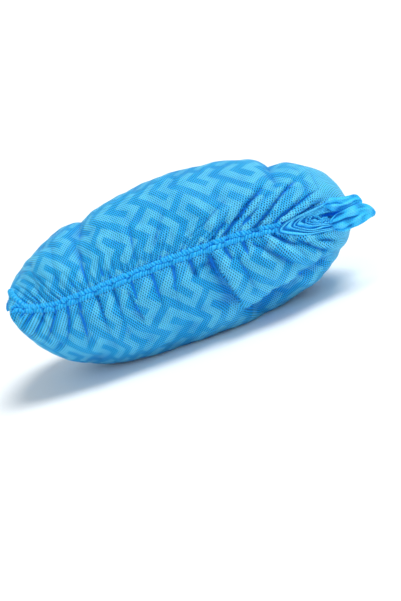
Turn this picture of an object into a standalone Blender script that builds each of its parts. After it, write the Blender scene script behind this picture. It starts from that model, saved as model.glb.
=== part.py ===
"""A disposable overshoe of printed non-woven sheet, puffed out and lying on its side.

X runs from the toe end to the heel end and Z is up. The elasticated slit faces -Y, and the
cover rests on Z = 0. It is one sheet folded along the sole, at +Y, with a weld at each end.
Each long edge has a gathered hem, and both hems run out past the heel weld as loose ears.
"""

import math

import bmesh
import bpy
import numpy as np
from mathutils import Matrix

MM = 0.001

# The sheet, its hems and its welds
WALL = 1.2 * MM
HEM_HEIGHT = 3.8 * MM
HEM_DEPTH = 3.4 * MM
HEM_SWELL = 0.12
HEM_PROUD = 0.7 * MM
HEM_FIRST_ALONG = -124 * MM
HEM_LAST_ALONG = 115 * MM
PIECE_GAP = 0.6 * MM
WELD_WIDTH = 4.5 * MM
WELD_THICKNESS = 1.4 * MM
WELD_TURN = math.radians(48)
WELD_CORNER_TURN = math.radians(22)

# Colours are linear
SHEET_COLOUR = (0.04, 0.33, 0.72)
HEM_COLOUR = (0.02, 0.32, 0.82)
SHEET_ROUGHNESS = 0.75
WELD_ROUGHNESS = 0.6

# The mesh: four columns make one pleat, so a pleat is a crest, a slope, a trough and a slope
PLEATS = 25
COLUMNS_PER_PLEAT = 4
ROWS_PER_PANEL = 11
ROW_CROWDING = 1.4
HEM_SIDES = 6
WELD_POINTS = 17
TURN_STEPS = 360
WELDED_DISTANCE = 0.01 * MM

# The puffed form. Each row is one section across the cover: where it reaches, in
# millimetres, how far its front and back lean along X, and how far the slit stands above
# the front, in degrees. The first and last rows are the welds, where the section closes.
SECTIONS = (
    # along, low, high, front, back, front_lean, back_lean, slit_turn
    (-134.6, 70.5, 70.5, -24.0, 32.0, 0.0, 15.0, 0.0),
    (-133.8, 58.0, 77.5, -28.0, 37.0, 0.0, 14.8, 8.0),
    (-130.0, 44.0, 84.0, -33.0, 43.0, 0.0, 12.5, 16.0),
    (-122.0, 31.0, 90.0, -38.0, 49.0, 0.0, 9.0, 14.0),
    (-108.0, 16.5, 98.0, -44.0, 53.0, 0.0, 4.0, 11.0),
    (-86.0, 4.0, 106.5, -48.0, 56.0, 0.0, 1.0, 11.0),
    (-58.0, -4.0, 111.5, -51.0, 57.0, 0.0, 0.0, 13.0),
    (-22.0, -6.0, 118.5, -53.0, 58.0, 0.0, 0.0, 12.5),
    (8.0, -6.0, 121.5, -54.0, 58.0, 0.0, 0.0, 11.5),
    (36.0, -4.5, 119.5, -54.0, 58.0, 0.0, 0.0, 11.5),
    (66.0, 2.0, 110.0, -52.0, 57.0, 0.0, -1.0, 12.0),
    (88.0, 9.0, 100.0, -48.0, 54.0, -1.0, -3.5, 14.0),
    (105.0, 19.5, 90.0, -42.0, 49.0, -3.0, -7.0, 14.0),
    (117.0, 29.0, 78.0, -36.0, 43.0, -5.0, -11.0, 13.0),
    (125.5, 38.0, 66.0, -29.0, 36.0, -7.0, -14.0, 9.0),
    (129.4, 45.0, 57.0, -22.0, 30.0, -8.0, -15.6, 4.0),
    (130.2, 50.5, 50.5, -16.0, 24.0, -8.4, -16.0, 0.0),
)
TOE_WELD_RISE = 0.1
TOE_WELD_RISE_REACH = 26 * MM

# The slit: lips pressed together, but for the part near the heel that gapes
SLIT_CLOSED = 1.0 * MM
SLIT_GAPE = 13.0 * MM
GAPE_CENTRE = 101 * MM
GAPE_REACH = 24 * MM

# The elastic pulls the lips in and gathers the sheet beside them
PINCH_DEPTH = 5.0 * MM
PINCH_REACH = 17 * MM
PLEAT_DEPTH = {"upper": 1.2 * MM, "lower": 2.0 * MM}
PLEAT_REACH = {"upper": 20 * MM, "lower": 30 * MM}

# How far in from either end of the cover the slit, the pinch, the pleats and the folds fade in
SLIT_END_TAPER = 7 * MM
PINCH_END_TAPER = 20 * MM
PLEAT_END_TAPER = 12 * MM
FOLD_END_TAPER = 15 * MM

# Larger folds that run from the hem out over a panel, in millimetres and, for the slant,
# millimetres along X for each millimetre away from the slit
FOLDS = (
    # panel, along, slant, start, length, depth, width
    ("upper", -104.0, 0.05, 4.0, 110.0, 1.8, 7.0),
    ("upper", -74.0, 0.22, 10.0, 120.0, 2.6, 7.0),
    ("upper", -2.0, 0.15, 40.0, 110.0, 1.6, 6.0),
    ("upper", 14.0, 0.62, 2.0, 95.0, 3.2, 6.0),
    ("upper", 36.0, 0.62, 2.0, 105.0, 4.0, 6.0),
    ("upper", 55.0, 0.60, 2.0, 90.0, 3.4, 5.0),
    ("upper", 72.0, 0.75, 2.0, 60.0, 2.6, 4.5),
    ("lower", -24.0, 0.10, 2.0, 40.0, 2.6, 5.0),
    ("lower", 12.0, 0.20, 2.0, 60.0, 5.0, 7.0),
    ("lower", 66.0, 0.95, 2.0, 60.0, 3.6, 5.0),
    ("lower", 84.0, 0.90, 2.0, 45.0, 2.6, 4.5),
)
FOLD_LIP_SHARE = 0.55
FOLD_LIP_PLACE = 1.5
FOLD_START_FADE = 8 * MM
FOLD_END_FADE_SHARE = 0.4

# The ears: the loose ends of the two hems, past the heel weld. Each row is a section of the
# ear: where its middle is, how high it stands and how thick it is, in millimetres
LOWER_EAR = (
    # along, across, up, height, thickness
    (116.0, -39.5, 55.0, 7.0, 3.0),
    (121.0, -37.5, 52.0, 11.0, 2.4),
    (128.0, -33.0, 50.6, 13.5, 1.8),
    (134.0, -29.5, 50.8, 12.5, 1.6),
    (139.0, -27.0, 49.4, 9.0, 1.6),
    (143.0, -25.0, 46.8, 4.0, 1.4),
)
UPPER_EAR = (
    (116.0, -36.5, 65.5, 4.5, 2.8),
    (121.0, -33.5, 64.0, 5.5, 2.2),
    (127.0, -29.0, 62.8, 6.5, 1.8),
    (132.5, -26.0, 61.6, 7.0, 1.6),
    (136.0, -24.0, 60.8, 4.5, 1.4),
)


def read_through(knots, values, places):
    """The values at some places on a smooth curve through the knots."""
    slopes = np.gradient(values, knots)
    cell = np.clip(np.searchsorted(knots, places) - 1, 0, len(knots) - 2)
    width = knots[cell + 1] - knots[cell]
    share = (places - knots[cell]) / width
    square, cube = share**2, share**3
    return (
        (2 * cube - 3 * square + 1) * values[cell]
        + (3 * square - 2 * cube) * values[cell + 1]
        + (cube - 2 * square + share) * width * slopes[cell]
        + (cube - square) * width * slopes[cell + 1]
    )


def smooth_step(value):
    """0 below 0, 1 above 1 and smooth between."""
    held = np.clip(value, 0.0, 1.0)
    return held * held * (3.0 - 2.0 * held)


def resampled_sections(count):
    """The section table read at evenly spaced places along the cover's outline, toe to heel."""
    table = np.array(SECTIONS, float)
    turn = np.radians(table[:, 7])
    table = table[:, :7] * MM
    along, low, high = table[:, 0], table[:, 1], table[:, 2]
    steps = np.sqrt(np.diff(along) ** 2 + (np.diff(low) ** 2 + np.diff(high) ** 2) / 2)
    knots = np.concatenate([[0.0], np.cumsum(steps)])
    places = np.linspace(0.0, knots[-1], count)
    names = ("along", "low", "high", "front", "back", "front_lean", "back_lean")
    rows = {name: read_through(knots, table[:, i], places) for i, name in enumerate(names)}
    rows["slit_turn"] = read_through(knots, turn, places)
    return rows


def slit_gap(along):
    """The free gap between the two hems."""
    near = np.clip(np.abs(along - GAPE_CENTRE) / GAPE_REACH, 0.0, 1.0)
    return SLIT_CLOSED + (SLIT_GAPE - SLIT_CLOSED) * np.cos(near * math.pi / 2) ** 2


def end_taper(along, reach):
    """0 at either end of the cover and 1 further in than reach."""
    first, last = SECTIONS[0][0] * MM, SECTIONS[-1][0] * MM
    return smooth_step((along - first) / reach) * smooth_step((last - along) / reach)


class Cover:
    """The puffed sheet as a grid of points: columns toe to heel, rows from the upper lip over
    the top, round the sole and up to the lower lip."""

    def __init__(self):
        self.columns = PLEATS * COLUMNS_PER_PLEAT + 1
        self.sections = resampled_sections(self.columns)
        self.along = self.sections["along"]

    def point(self, column, angle):
        """A point of the smooth form. The angle goes round a section, from the front upwards."""
        rows = self.sections
        depth = (rows["back"] - rows["front"])[column] / 2
        height = (rows["high"] - rows["low"])[column] / 2
        middle = (rows["back"] + rows["front"])[column] / 2
        level = (rows["high"] + rows["low"])[column] / 2
        frontness = (1 + np.cos(angle)) / 2
        lean = rows["front_lean"][column] * frontness**2
        lean = lean + rows["back_lean"][column] * (1 - frontness) ** 2
        y = middle - depth * np.cos(angle)
        rise = TOE_WELD_RISE * (y - rows["front"][column])
        rise = rise * (1 - smooth_step((self.along[column] - self.along[0]) / TOE_WELD_RISE_REACH))
        z = level + height * np.sin(angle) + rise
        return np.stack([rows["along"][column] + lean + 0 * angle, y, z], axis=-1)

    def outward(self, column, angle):
        """The outward direction at that point, within the section's plane."""
        rows = self.sections
        depth = (rows["back"] - rows["front"])[column] / 2
        height = (rows["high"] - rows["low"])[column] / 2 + WALL
        y, z = -np.cos(angle) * height, np.sin(angle) * depth
        size = np.hypot(y, z)
        return np.stack([0 * angle, y / size, z / size], axis=-1)

    def way_round(self, column):
        """Angles all the way round a section, and their signed distances from the slit's
        centre line: upwards positive, and the sole at either end."""
        turn = self.sections["slit_turn"][column]
        angles = turn + np.linspace(-math.pi, math.pi, 2 * TURN_STEPS + 1)
        path = self.point(column, angles)[:, 1:]
        steps = np.linalg.norm(np.diff(path, axis=0), axis=1)
        distances = np.concatenate([[0.0], np.cumsum(steps)])
        return angles, distances - distances[TURN_STEPS]

    def angle_at(self, column, distance):
        """The angle at a signed distance from the slit's centre line."""
        angles, distances = self.way_round(column)
        return np.interp(distance, distances, angles)

    def lip_distance(self, column):
        """How far each edge of the sheet is from the slit's centre line."""
        full = slit_gap(self.along[column]) / 2 + HEM_HEIGHT + PIECE_GAP
        return full * end_taper(self.along[column], SLIT_END_TAPER)

    def pleat(self, column, distance, panel):
        """The push of the pleats, out on a crest and in on a trough."""
        wave = math.sin(2 * math.pi * column / COLUMNS_PER_PLEAT)
        fade = np.exp(-((distance / PLEAT_REACH[panel]) ** 2))
        return PLEAT_DEPTH[panel] * wave * fade * end_taper(self.along[column], PLEAT_END_TAPER)

    def folds(self, column, distance, panel):
        """The push of the larger folds: a valley with a raised lip on its heel side."""
        push = 0.0 * distance
        for fold_panel, *sizes in FOLDS:
            if fold_panel != panel:
                continue
            slant = sizes[1]
            along, _, start, length, depth, width = (size * MM for size in sizes)
            across = (self.along[column] - along - slant * distance) / math.hypot(1.0, slant)
            fade = smooth_step((distance - start) / FOLD_START_FADE)
            fade = fade * smooth_step((length - distance) / (FOLD_END_FADE_SHARE * length))
            valley = np.exp(-((across / width) ** 2))
            lip = np.exp(-(((across - FOLD_LIP_PLACE * width) / width) ** 2))
            push = push - depth * fade * (valley - FOLD_LIP_SHARE * lip)
        return push * end_taper(self.along[column], FOLD_END_TAPER)

    def surface(self, column, distance):
        """The sheet's outer face at signed distances from the slit in one column."""
        distance = np.asarray(distance, float)
        angle = self.angle_at(column, distance)
        place = self.point(column, angle)
        push = -PINCH_DEPTH * np.exp(-((distance / PINCH_REACH) ** 2))
        push = push * end_taper(self.along[column], PINCH_END_TAPER)
        upper = self.pleat(column, distance, "upper") + self.folds(column, distance, "upper")
        lower = self.pleat(column, -distance, "lower") + self.folds(column, -distance, "lower")
        push = push + np.where(distance > 0, upper, lower)
        place = place + self.outward(column, angle) * push[..., None]
        place[..., 2] = np.maximum(place[..., 2], 0.0)
        return place

    def grid(self):
        """All the points of the sheet's outer face."""
        share = np.linspace(0.0, 1.0, ROWS_PER_PANEL + 1) ** ROW_CROWDING
        lines = []
        for column in range(self.columns):
            _, round_distances = self.way_round(column)
            lip = self.lip_distance(column)
            upper = lip + share * (round_distances[-1] - lip)
            lower = -lip + share * (round_distances[0] + lip)
            distances = np.concatenate([upper, lower[-2::-1]])
            lines.append(self.surface(column, distances))
        return np.array(lines)


def material(name, colour, roughness):
    """A plain dielectric finish."""
    made = bpy.data.materials.new(name)
    made.use_nodes = True
    shader = made.node_tree.nodes["Principled BSDF"]
    shader.inputs["Base Color"].default_value = (*colour, 1.0)
    shader.inputs["Roughness"].default_value = roughness
    shader.inputs["Metallic"].default_value = 0.0
    return made


def mesh_object(name, points, faces, finish, collection):
    """An object from points and faces, with doubled points welded and faces turned outwards."""
    mesh = bpy.data.meshes.new(name)
    mesh.from_pydata([tuple(p) for p in points], [], faces)
    shape = bmesh.new()
    shape.from_mesh(mesh)
    bmesh.ops.remove_doubles(shape, verts=shape.verts, dist=WELDED_DISTANCE)
    bmesh.ops.dissolve_degenerate(shape, dist=WELDED_DISTANCE, edges=shape.edges)
    bmesh.ops.recalc_face_normals(shape, faces=shape.faces)
    shape.to_mesh(mesh)
    shape.free()
    mesh.materials.append(finish)
    mesh.shade_smooth()
    made = bpy.data.objects.new(name, mesh)
    collection.objects.link(made)
    return made


def grid_faces(columns, rows, closed_rows=False):
    """The quads of a grid of points stored column by column."""
    faces = []
    for i in range(columns - 1):
        for j in range(rows if closed_rows else rows - 1):
            after = (j + 1) % rows
            here, beside = i * rows, (i + 1) * rows
            faces.append((here + j, here + after, beside + after, beside + j))
    return faces


def capped_tube_faces(rings, sides):
    """The faces of a tube through rings of points, with an end cap at either end."""
    faces = grid_faces(rings, sides, closed_rows=True)
    faces.append(tuple(range(sides)))
    faces.append(tuple((rings - 1) * sides + i for i in range(sides)))
    return faces


def body(cover, finish, collection):
    """The sheet itself: an open surface with its thickness inside it."""
    points = cover.grid()
    columns, rows = points.shape[:2]
    faces = grid_faces(columns, rows)
    made = mesh_object("body", points.reshape(-1, 3), faces, finish, collection)
    wall = made.modifiers.new("wall", "SOLIDIFY")
    wall.thickness = WALL
    wall.offset = -1.0
    return made


def ring(centre, across, out, height, thickness):
    """The corners of one section of a hem: an oval about its centre."""
    turns = 2 * math.pi * (np.arange(HEM_SIDES) + 0.5) / HEM_SIDES
    return (
        centre
        + np.outer(np.cos(turns), across) * height / 2
        + np.outer(np.sin(turns), out) * thickness / 2
    )


def unit(vector):
    """The vector at length 1."""
    return vector / np.linalg.norm(vector)


def hem(name, cover, sign, ear, finish, collection):
    """A gathered hem along one lip, which runs on past the slit's end as a flat ear."""
    held = (cover.along > HEM_FIRST_ALONG) & (cover.along < HEM_LAST_ALONG)
    rings = []
    for column in np.flatnonzero(held):
        away = slit_gap(cover.along[column]) / 2 + HEM_HEIGHT / 2
        centre, further = cover.surface(column, [sign * away, sign * (away + HEM_HEIGHT)])
        out = cover.outward(column, cover.angle_at(column, sign * away))
        across = unit(further - centre)
        across = unit(across - out * across.dot(out))
        swell = 1 + HEM_SWELL * math.sin(2 * math.pi * column / COLUMNS_PER_PLEAT)
        centre = centre + out * (HEM_PROUD - WALL / 2)
        rings.append(ring(centre, across, out, HEM_HEIGHT, HEM_DEPTH * swell))
    upward = np.array([0.0, 0.0, float(sign)])
    outward = np.array([0.0, -1.0, 0.0])
    for along, beside, up, height, thickness in np.array(ear) * MM:
        centre = np.array([along, beside, up])
        rings.append(ring(centre, upward, outward, height, thickness))
    points = np.array(rings)
    faces = capped_tube_faces(len(points), HEM_SIDES)
    return mesh_object(name, points.reshape(-1, 3), faces, finish, collection)


def weld(name, cover, column, direction, finish, collection):
    """The flat welded edge that stands out from one end of the cover."""
    line = cover.point(column, np.linspace(WELD_TURN, math.pi - WELD_TURN, WELD_POINTS))
    run = np.gradient(line, axis=0)
    upward = np.array([0.0, 0.0, 1.0])
    away = np.cross(run, upward)
    away *= direction / np.linalg.norm(away, axis=1)[:, None]
    corner_turns = np.linspace(WELD_CORNER_TURN, math.pi - WELD_CORNER_TURN, WELD_POINTS)
    width = WELD_WIDTH * np.sqrt(np.sin(corner_turns))
    near = line + away * PIECE_GAP
    far = line + away * (PIECE_GAP + width[:, None])
    half = upward * WELD_THICKNESS / 2
    points = np.stack([near + half, far + half, far - half, near - half], axis=1)
    faces = capped_tube_faces(WELD_POINTS, 4)
    return mesh_object(name, points.reshape(-1, 3), faces, finish, collection)


def centre_on_origin(pieces):
    """Bring the middle of the cover's length and width to the origin, in the meshes."""
    places = np.array([vertex.co for piece in pieces for vertex in piece.data.vertices])
    middle = (places.min(axis=0) + places.max(axis=0)) / 2
    shift = Matrix.Translation((-middle[0], -middle[1], 0.0))
    for piece in pieces:
        piece.data.transform(shift)


def main():
    for old in list(bpy.data.objects):
        bpy.data.objects.remove(old)
    collection = bpy.data.collections.new("shoe_cover")
    bpy.context.scene.collection.children.link(collection)
    cover = Cover()
    heel = cover.columns - 1
    sheet = material("printed_sheet", SHEET_COLOUR, SHEET_ROUGHNESS)
    upper = material("upper_hem_sheet", HEM_COLOUR, SHEET_ROUGHNESS)
    lower = material("lower_hem_sheet", HEM_COLOUR, SHEET_ROUGHNESS)
    toe_weld = material("toe_weld_sheet", SHEET_COLOUR, WELD_ROUGHNESS)
    heel_weld = material("heel_weld_sheet", SHEET_COLOUR, WELD_ROUGHNESS)
    centre_on_origin([
        body(cover, sheet, collection),
        hem("hem_upper", cover, 1, UPPER_EAR, upper, collection),
        hem("hem_lower", cover, -1, LOWER_EAR, lower, collection),
        weld("toe_weld", cover, 0, -1, toe_weld, collection),
        weld("heel_weld", cover, heel, 1, heel_weld, collection),
    ])


main()
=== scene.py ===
"""The looks of a disposable overshoe: non-woven sheet with a lighter printed tread, gathered
by elastic along its slit, puffed out and lying on its side.

X runs from the toe end to the heel end, the slit faces -Y and the sole is folded at +Y.
"""

import math

import bmesh
import bpy
import numpy as np
from mathutils import Matrix, Vector


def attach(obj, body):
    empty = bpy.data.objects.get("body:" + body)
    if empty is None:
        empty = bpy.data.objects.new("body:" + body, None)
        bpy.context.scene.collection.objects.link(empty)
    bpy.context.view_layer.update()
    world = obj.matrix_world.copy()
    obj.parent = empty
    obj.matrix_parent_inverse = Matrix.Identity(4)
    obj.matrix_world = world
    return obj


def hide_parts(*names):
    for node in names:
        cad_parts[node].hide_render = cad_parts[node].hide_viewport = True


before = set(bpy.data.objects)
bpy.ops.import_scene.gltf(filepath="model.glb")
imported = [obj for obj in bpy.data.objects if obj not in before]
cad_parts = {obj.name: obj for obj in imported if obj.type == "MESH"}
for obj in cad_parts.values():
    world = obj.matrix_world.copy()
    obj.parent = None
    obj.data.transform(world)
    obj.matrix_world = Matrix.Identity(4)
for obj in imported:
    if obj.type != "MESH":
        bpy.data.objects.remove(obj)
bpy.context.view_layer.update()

MM = 0.001
CHANCE = np.random.default_rng(11)

# The puffed form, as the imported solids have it. Each row is one section across the cover, in
# millimetres: where it reaches, how far its front and back lean along X, and how far the slit
# stands above the front, in degrees.
SECTIONS = (
    # along, low, high, front, back, front_lean, back_lean, slit_turn
    (-134.6, 69, 69, -24, 32, 0, 15, 30),
    (-133.8, 57.5, 75.5, -28, 37, 0, 14.8, 22),
    (-130, 43.5, 80, -33, 43, 0, 12.5, 26),
    (-122, 30, 85, -38, 49, 0, 9, 22),
    (-108, 15.5, 96, -44, 53, 0, 4, 13.5),
    (-86, 4, 106.5, -48, 56, 0, 1, 11),
    (-58, -4, 111.5, -51, 57, 0, 0, 13),
    (-22, -6, 117.5, -53, 58, 0, 0, 12.5),
    (8, -6, 119.5, -54, 58, 0, 0, 11.5),
    (36, -4.5, 116, -54, 58, 0, 0, 12.5),
    (66, 2, 108, -52, 57, 0, -1, 13.5),
    (88, 9, 99, -48, 54, -1, -3.5, 14.5),
    (105, 19.5, 91, -42, 49, -3, -7, 13.2),
    (117, 29, 83, -36, 43, -5, -11, 7.2),
    (125.5, 38, 73, -29, 36, -7, -14, -4),
    (129.4, 45, 61, -22, 30, -8, -15.6, -8),
    (130.2, 50.5, 50.5, -16, 24, -8.4, -16, 0),
)
TOE_RISE = 0.1
TOE_RISE_REACH = 26 * MM
TURN_STEPS = 360

# The sheet's mesh: columns from toe to heel, and rows that are close beside the slit
COLUMNS = 497
NEAR_ROW = 0.78 * MM
FAR_ROW = 5.4 * MM
NEAR_ROWS_REACH = 20 * MM
FAR_ROWS_FROM = 105 * MM
NOMINAL_HALF = 186 * MM
SHEET_THICKNESS = 0.7 * MM

# The sheet as it was cut, and how far the elastic has gathered its edges
CUT_WIDTH = 0.3724
GATHER_EXCESS = {"upper": 0.30, "lower": 0.38}
GATHER_REACH = {"upper": 16 * MM, "lower": 22 * MM}
SLACK = 0.02

# The slit and the two hems beside it
SLIT_CLOSED = 0.1 * MM
SLIT_GAPE = 6.0 * MM
GAPE_CENTRE = 113 * MM
GAPE_REACH = 20 * MM
SLIT_RAISE = (
    # along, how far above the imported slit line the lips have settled
    (-135, 3), (-110, 3.9), (-60, 3.7), (-30, 3.2), (20, 3.2), (45, 3),
    (70, 0.8), (90, 0), (130, 0),
)
SLIT_END_TAPER = 5 * MM
HEM_HEIGHT = 3.9 * MM
HEM_DEPTH = 3.6 * MM
HEM_PROUD = 0.5 * MM
HEM_COVERS = 0.75
HEM_FIRST_ALONG = -133 * MM
HEM_LAST_ALONG = 73 * MM
PINCH_DEPTH = 5.0 * MM
PINCH_REACH = 17 * MM
PINCH_END_TAPER = 20 * MM
FOLD_END_TAPER = 9 * MM

# How uneven the soft sheet is: how many waves, the shortest, the longest and their size
SOFT_CRUMPLE = (14, 16 * MM, 60 * MM, 0.45 * MM)
SOFT_CRUMPLE_FROM = 25 * MM
FINE_CRUMPLE = (10, 6 * MM, 14 * MM, 0.10 * MM)

# The fine pleats of the upper panel: where, how far each leans to the heel for a millimetre
# away from the slit, how far apart they are, how deep and how long
UPPER_PLEATS = (
    # along, lean, spacing, depth, reach
    (-134, -0.70, 4.2, 1.3, 18),
    (-118, -0.45, 4.6, 1.7, 24),
    (-100, -0.47, 4.8, 1.6, 26),
    (-75, -0.13, 4.4, 1.3, 22),
    (-53, 0.00, 4, 1.1, 16),
    (-33, 0.18, 4, 1, 14),
    (0, 0.80, 4.6, 1.1, 15),
    (20, 1.50, 4.8, 1.3, 22),
    (60, 1.65, 4.6, 1.4, 26),
    (95, 1.65, 4.8, 1.1, 20),
    (112, 1.65, 6.5, 0.3, 10),
    (130, 1.65, 7, 0.2, 10),
)
PLEATS_SPAN = 250 * MM
PLEATS_CHANCE_PITCH = 7 * MM
PLEATS_CHANCE = 0.28
PLEATS_GROW_IN = 2.5 * MM
PLEATS_SHARPNESS = 0.8
PLEATS_MEAN = 1.1
PLEATS_FALL = 1.6

# How the pleats' strength goes up and down: its mean, its swing, its pace and its start
PLEATS_VARIETY = (0.65, 0.35, 2.1, 1.3)

# The lobes of the lower panel: the valleys between them, and how they lean, how deep and long
LOWER_VALLEYS = (
    -134.0, -130.5, -126.3, -122.9, -117.6, -109.7, -101.6, -92.8, -84.3, -70.5, -58.0, -44.0,
    -28.0, -11.5, 1.2, 15.4, 27.3, 41.4, 53.0, 64.0, 76.0, 88.0, 100.0, 112.0, 124.0,
)
LOWER_LOBES = (
    # along, lean, depth, reach
    (-134, -0.80, 1.6, 16),
    (-122, -0.62, 3.4, 26),
    (-110, -0.50, 4.4, 34),
    (-92, -0.12, 4.6, 34),
    (-70, 0.00, 4.4, 30),
    (-28, 0.00, 4, 24),
    (-11, -0.25, 4, 19),
    (15, 0.05, 4, 18),
    (41, 0.00, 2.8, 14),
    (60, 0.50, 1.6, 12),
    (80, 0.80, 0.5, 12),
    (130, 0.80, 0.3, 12),
)
LOBES_GROW_IN = 5 * MM
LOBES_SHARPNESS = 0.75
LOBES_MEAN = 0.62
LOBES_FALL = 2.2
LIP_PLEATS_DEPTH = 0.5 * MM
LIP_PLEATS_REACH = 7 * MM
LIP_PLEATS_GROW_IN = 2 * MM
LIP_PLEATS_MEAN = 0.6

# The larger folds. Each is a straight crease between two places on a panel, in millimetres
# along X and away from the slit. A negative depth is a ridge.
FOLDS = {
    # from_along, from_away, to_along, to_away, depth, width
    "upper": (
        (-112, 8, -109, 60, 1.2, 4), (-95, 14, -90, 60, 1.2, 3.2), (-73, 5, -75, 72, 1.5, 2.2),
        (-76, 12, -55, 150, 4.8, 8), (-62, 10, -58, 40, 1, 2.4), (-36, 12, -31, 44, 1.6, 2.6),
        (-22, 14, -2, 44, 1.4, 3), (-16, 18, -4, 26, -1.4, 1.8), (2, 46, 14, 80, 0.8, 5),
        (100, 17, 98, 60, 1.1, 3), (110, 18, 107, 54, 0.9, 2.4), (15, 4, 40, 21, 2, 2.6),
        (21, 16.5, 45, 28, -2, 2.6), (26, 3, 76, 40, 3.9, 2.4), (34, 3, 60, 20, 1.8, 1.7),
        (41, 6, 90, 31, -1.2, 2), (46, 0.5, 101, 38, 4.2, 2.2), (54, 1, 90, 24, 2, 1.6),
        (60, 2, 95, 17, 2.4, 2.2), (78, 22, 84, 120, 4.6, 7), (69, 0.5, 116, 12.5, 5, 1.8),
        (71, 4.2, 114, 16.5, -1.8, 1.8), (82, 1.5, 113, 8.2, 2.4, 1.4),
        (30, 6, 68, 37, 1.3, 1.3), (38, 5, 80, 35, 1.2, 1.2), (50, 4, 96, 36, 1.5, 1.2),
        (53, 8, 98, 33, -1, 1.3), (63, 3, 102, 22, 1.5, 1.2), (74, 7.5, 112, 22, 1.3, 1.2),
        (80, 8, 116, 20, -0.9, 1.2),
    ),
    "lower": (
        (24, 8, 33, 54, -2, 4), (33, 6, 40, 44, 1.4, 2.4), (-11, 1, -14, 15, 2.4, 1.8),
        (1, 1, 1.5, 17, 3.4, 2), (15, 1, 16, 15, 3.6, 2), (27.5, 1, 30, 14, 2.8, 1.8),
        (41, 1, 42, 12, 2.4, 1.8), (45.5, 3, 73, 32, 2.8, 3), (55.5, 1, 82, 36, -3.4, 2.8),
        (61, 2, 83, 20, 4.4, 2.8), (75, 7, 104, 36, 3.4, 2.4), (80, 9, 110, 30, -1.6, 2.4),
        (86, 15.5, 112, 25, 3.2, 2.4), (70, 46, 102, 38, 5.6, 5.4), (-60, 30, -40, 60, 1.8, 5),
        (48, 34, 56, 74, 2.2, 6),
    ),
}

# Where one lobe of the sheet lies over the next: the line of its edge, with the deeper sheet on
# its toe side or its sole side
LEDGES = {
    # from_along, from_away, to_along, to_away, depth, width
    "upper": (
        (29, 5, 66, 30, 2.6, 6),
    ),
    "lower": (
        (17.5, 0, 27, 56, 10, 15), (24, 56, 74, 40, 8, 22), (-112, 3, -104, 34, 2, 6),
        (-86, 3, -80, 40, 2.4, 7), (-47, 3, -42, 36, 2.6, 8),
    ),
}
FADE_IN = 0.12
FOLD_FADE_OUT = 0.35
LEDGE_FADE_OUT = 0.25
LEDGE_EDGE = 1.8 * MM
LEDGE_RIM_SHARE = 0.12
LEDGE_RIM_PLACE = 3.0 * MM
FOLD_RIM_SHARE = 0.35
FOLD_RIM_WIDTH = 3.0 * MM
FOLD_SHARPNESS = 1.2
RIDGE_SHARPNESS = 1.6
FOLD_RIM_PLACE = 1.9

# The mouth near the heel, where the slit gapes and the gathers of both hems fan out into nested
# folds. Its outer and its inner edge, from the upper heel end round the toe side to the lower
# heel end: millimetres along X and above the slit.
MOUTH_OUTER = (
    (119, 11.5), (111.4, 9.8), (98.8, 6.8), (87.4, 5.6), (78.6, 4.2), (70.5, 1.2), (66, -2.6),
    (70, -6), (76, -8.6), (83, -11.6), (92, -14), (100, -15.4), (108, -15),
    (119, -12.5),
)
MOUTH_INNER = (
    (119, 1.8), (114.5, 1.7), (111, 1.3), (108.6, 0.4), (107.8, -0.8), (108.6, -1.8),
    (111, -2.3), (114.5, -2.5), (119, -2.5),
)
MOUTH_APEX = 6
MOUTH_RINGS = 8.0
MOUTH_POINTS = 240
MOUTH_ROWS = 88
MOUTH_PROUD = 1.6 * MM
MOUTH_DISH = 3.6 * MM
MOUTH_EDGE_DROP = 3.0 * MM
MOUTH_EDGE = 0.07
MOUTH_DRIFT = 0.35
MOUTH_DRIFT_PITCH = 0.09
MOUTH_DRIFT_GROW_IN = 0.3
MOUTH_WAVER = 0.25
MOUTH_WAVER_PACES = (3.3, 1.7)
MOUTH_VARIETY = (0.75, 0.25, 5.1, 9)
MOUTH_RIDGE_SHARE = 0.55
MOUTH_RIDGE_MOST = 1.5 * MM
MOUTH_RIDGE_SHARPNESS = 0.8
MOUTH_JAG = 1.2 * MM
MOUTH_JAG_ASIDE = 0.72 * MM
MOUTH_JAGS = 46
MOUTH_JAG_DRIFT = 2.2
MOUTH_JAG_FROM = 0.45
MOUTH_JAG_GROW_IN = 0.4
# Painted shade and highlight of the fan's folds, and a painted shade that darkens it from a share of the
# way in towards its middle
MOUTH_PAINTED_SHADE = 1.3
MOUTH_DEEP_PAINTED_SHADE = 0.6
MOUTH_DEEP_FROM = 0.55
MOUTH_SMOOTHING = 2
MOUTH_THICKNESS = 0.6 * MM
MOUTH_WELL = 3.6 * MM
MOUTH_WELL_EDGE = 3.0 * MM

# The band of cross pleats beside the toe weld: millimetres along X and above the slit
TOE_GATHERS = (
    (-113.5, 4.2), (-118.5, 4), (-123, 6), (-127, 10.5), (-130, 17), (-131.8, 26),
)
TOE_GATHER_POINTS = 160
TOE_GATHER_ROWS = 15
TOE_GATHER_WIDTH = 6.6 * MM
TOE_GATHER_PLEATS = 17
TOE_GATHER_PROUD = 2.6 * MM
TOE_GATHER_DEPTH = 1.3 * MM
TOE_GATHER_DROP = 2.4 * MM
TOE_GATHER_SLANT = 0.5
TOE_GATHER_CHANCE = 0.5
TOE_GATHER_CHANCE_PITCH = 0.06
TOE_GATHER_SHARPNESS = 0.7
TOE_GATHER_MEAN = 0.7
TOE_GATHER_ARCH = math.pi / 2.4
# Painted shade and highlight of the pleats: how strong by rib, its offset, and the most highlight
TOE_GATHER_PAINTED_SHADE = (2.4, -1.5)
TOE_GATHER_PAINTED_HIGHLIGHT_MOST = 0.8
TOE_GATHER_NARROWING = 0.25
TOE_GATHER_END = 0.06
TOE_GATHER_SIDE = 0.15
SKIN_REACH = 45 * MM
SKIN_ROWS = 181

# The lining's grid beside the sheet's
LINING_FIRST = 8
LINING_STEP = 4
LINING_ROW_STEP = 2
LINING_SMOOTHING = 3
JOINED_WITHIN = 0.00001

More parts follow.
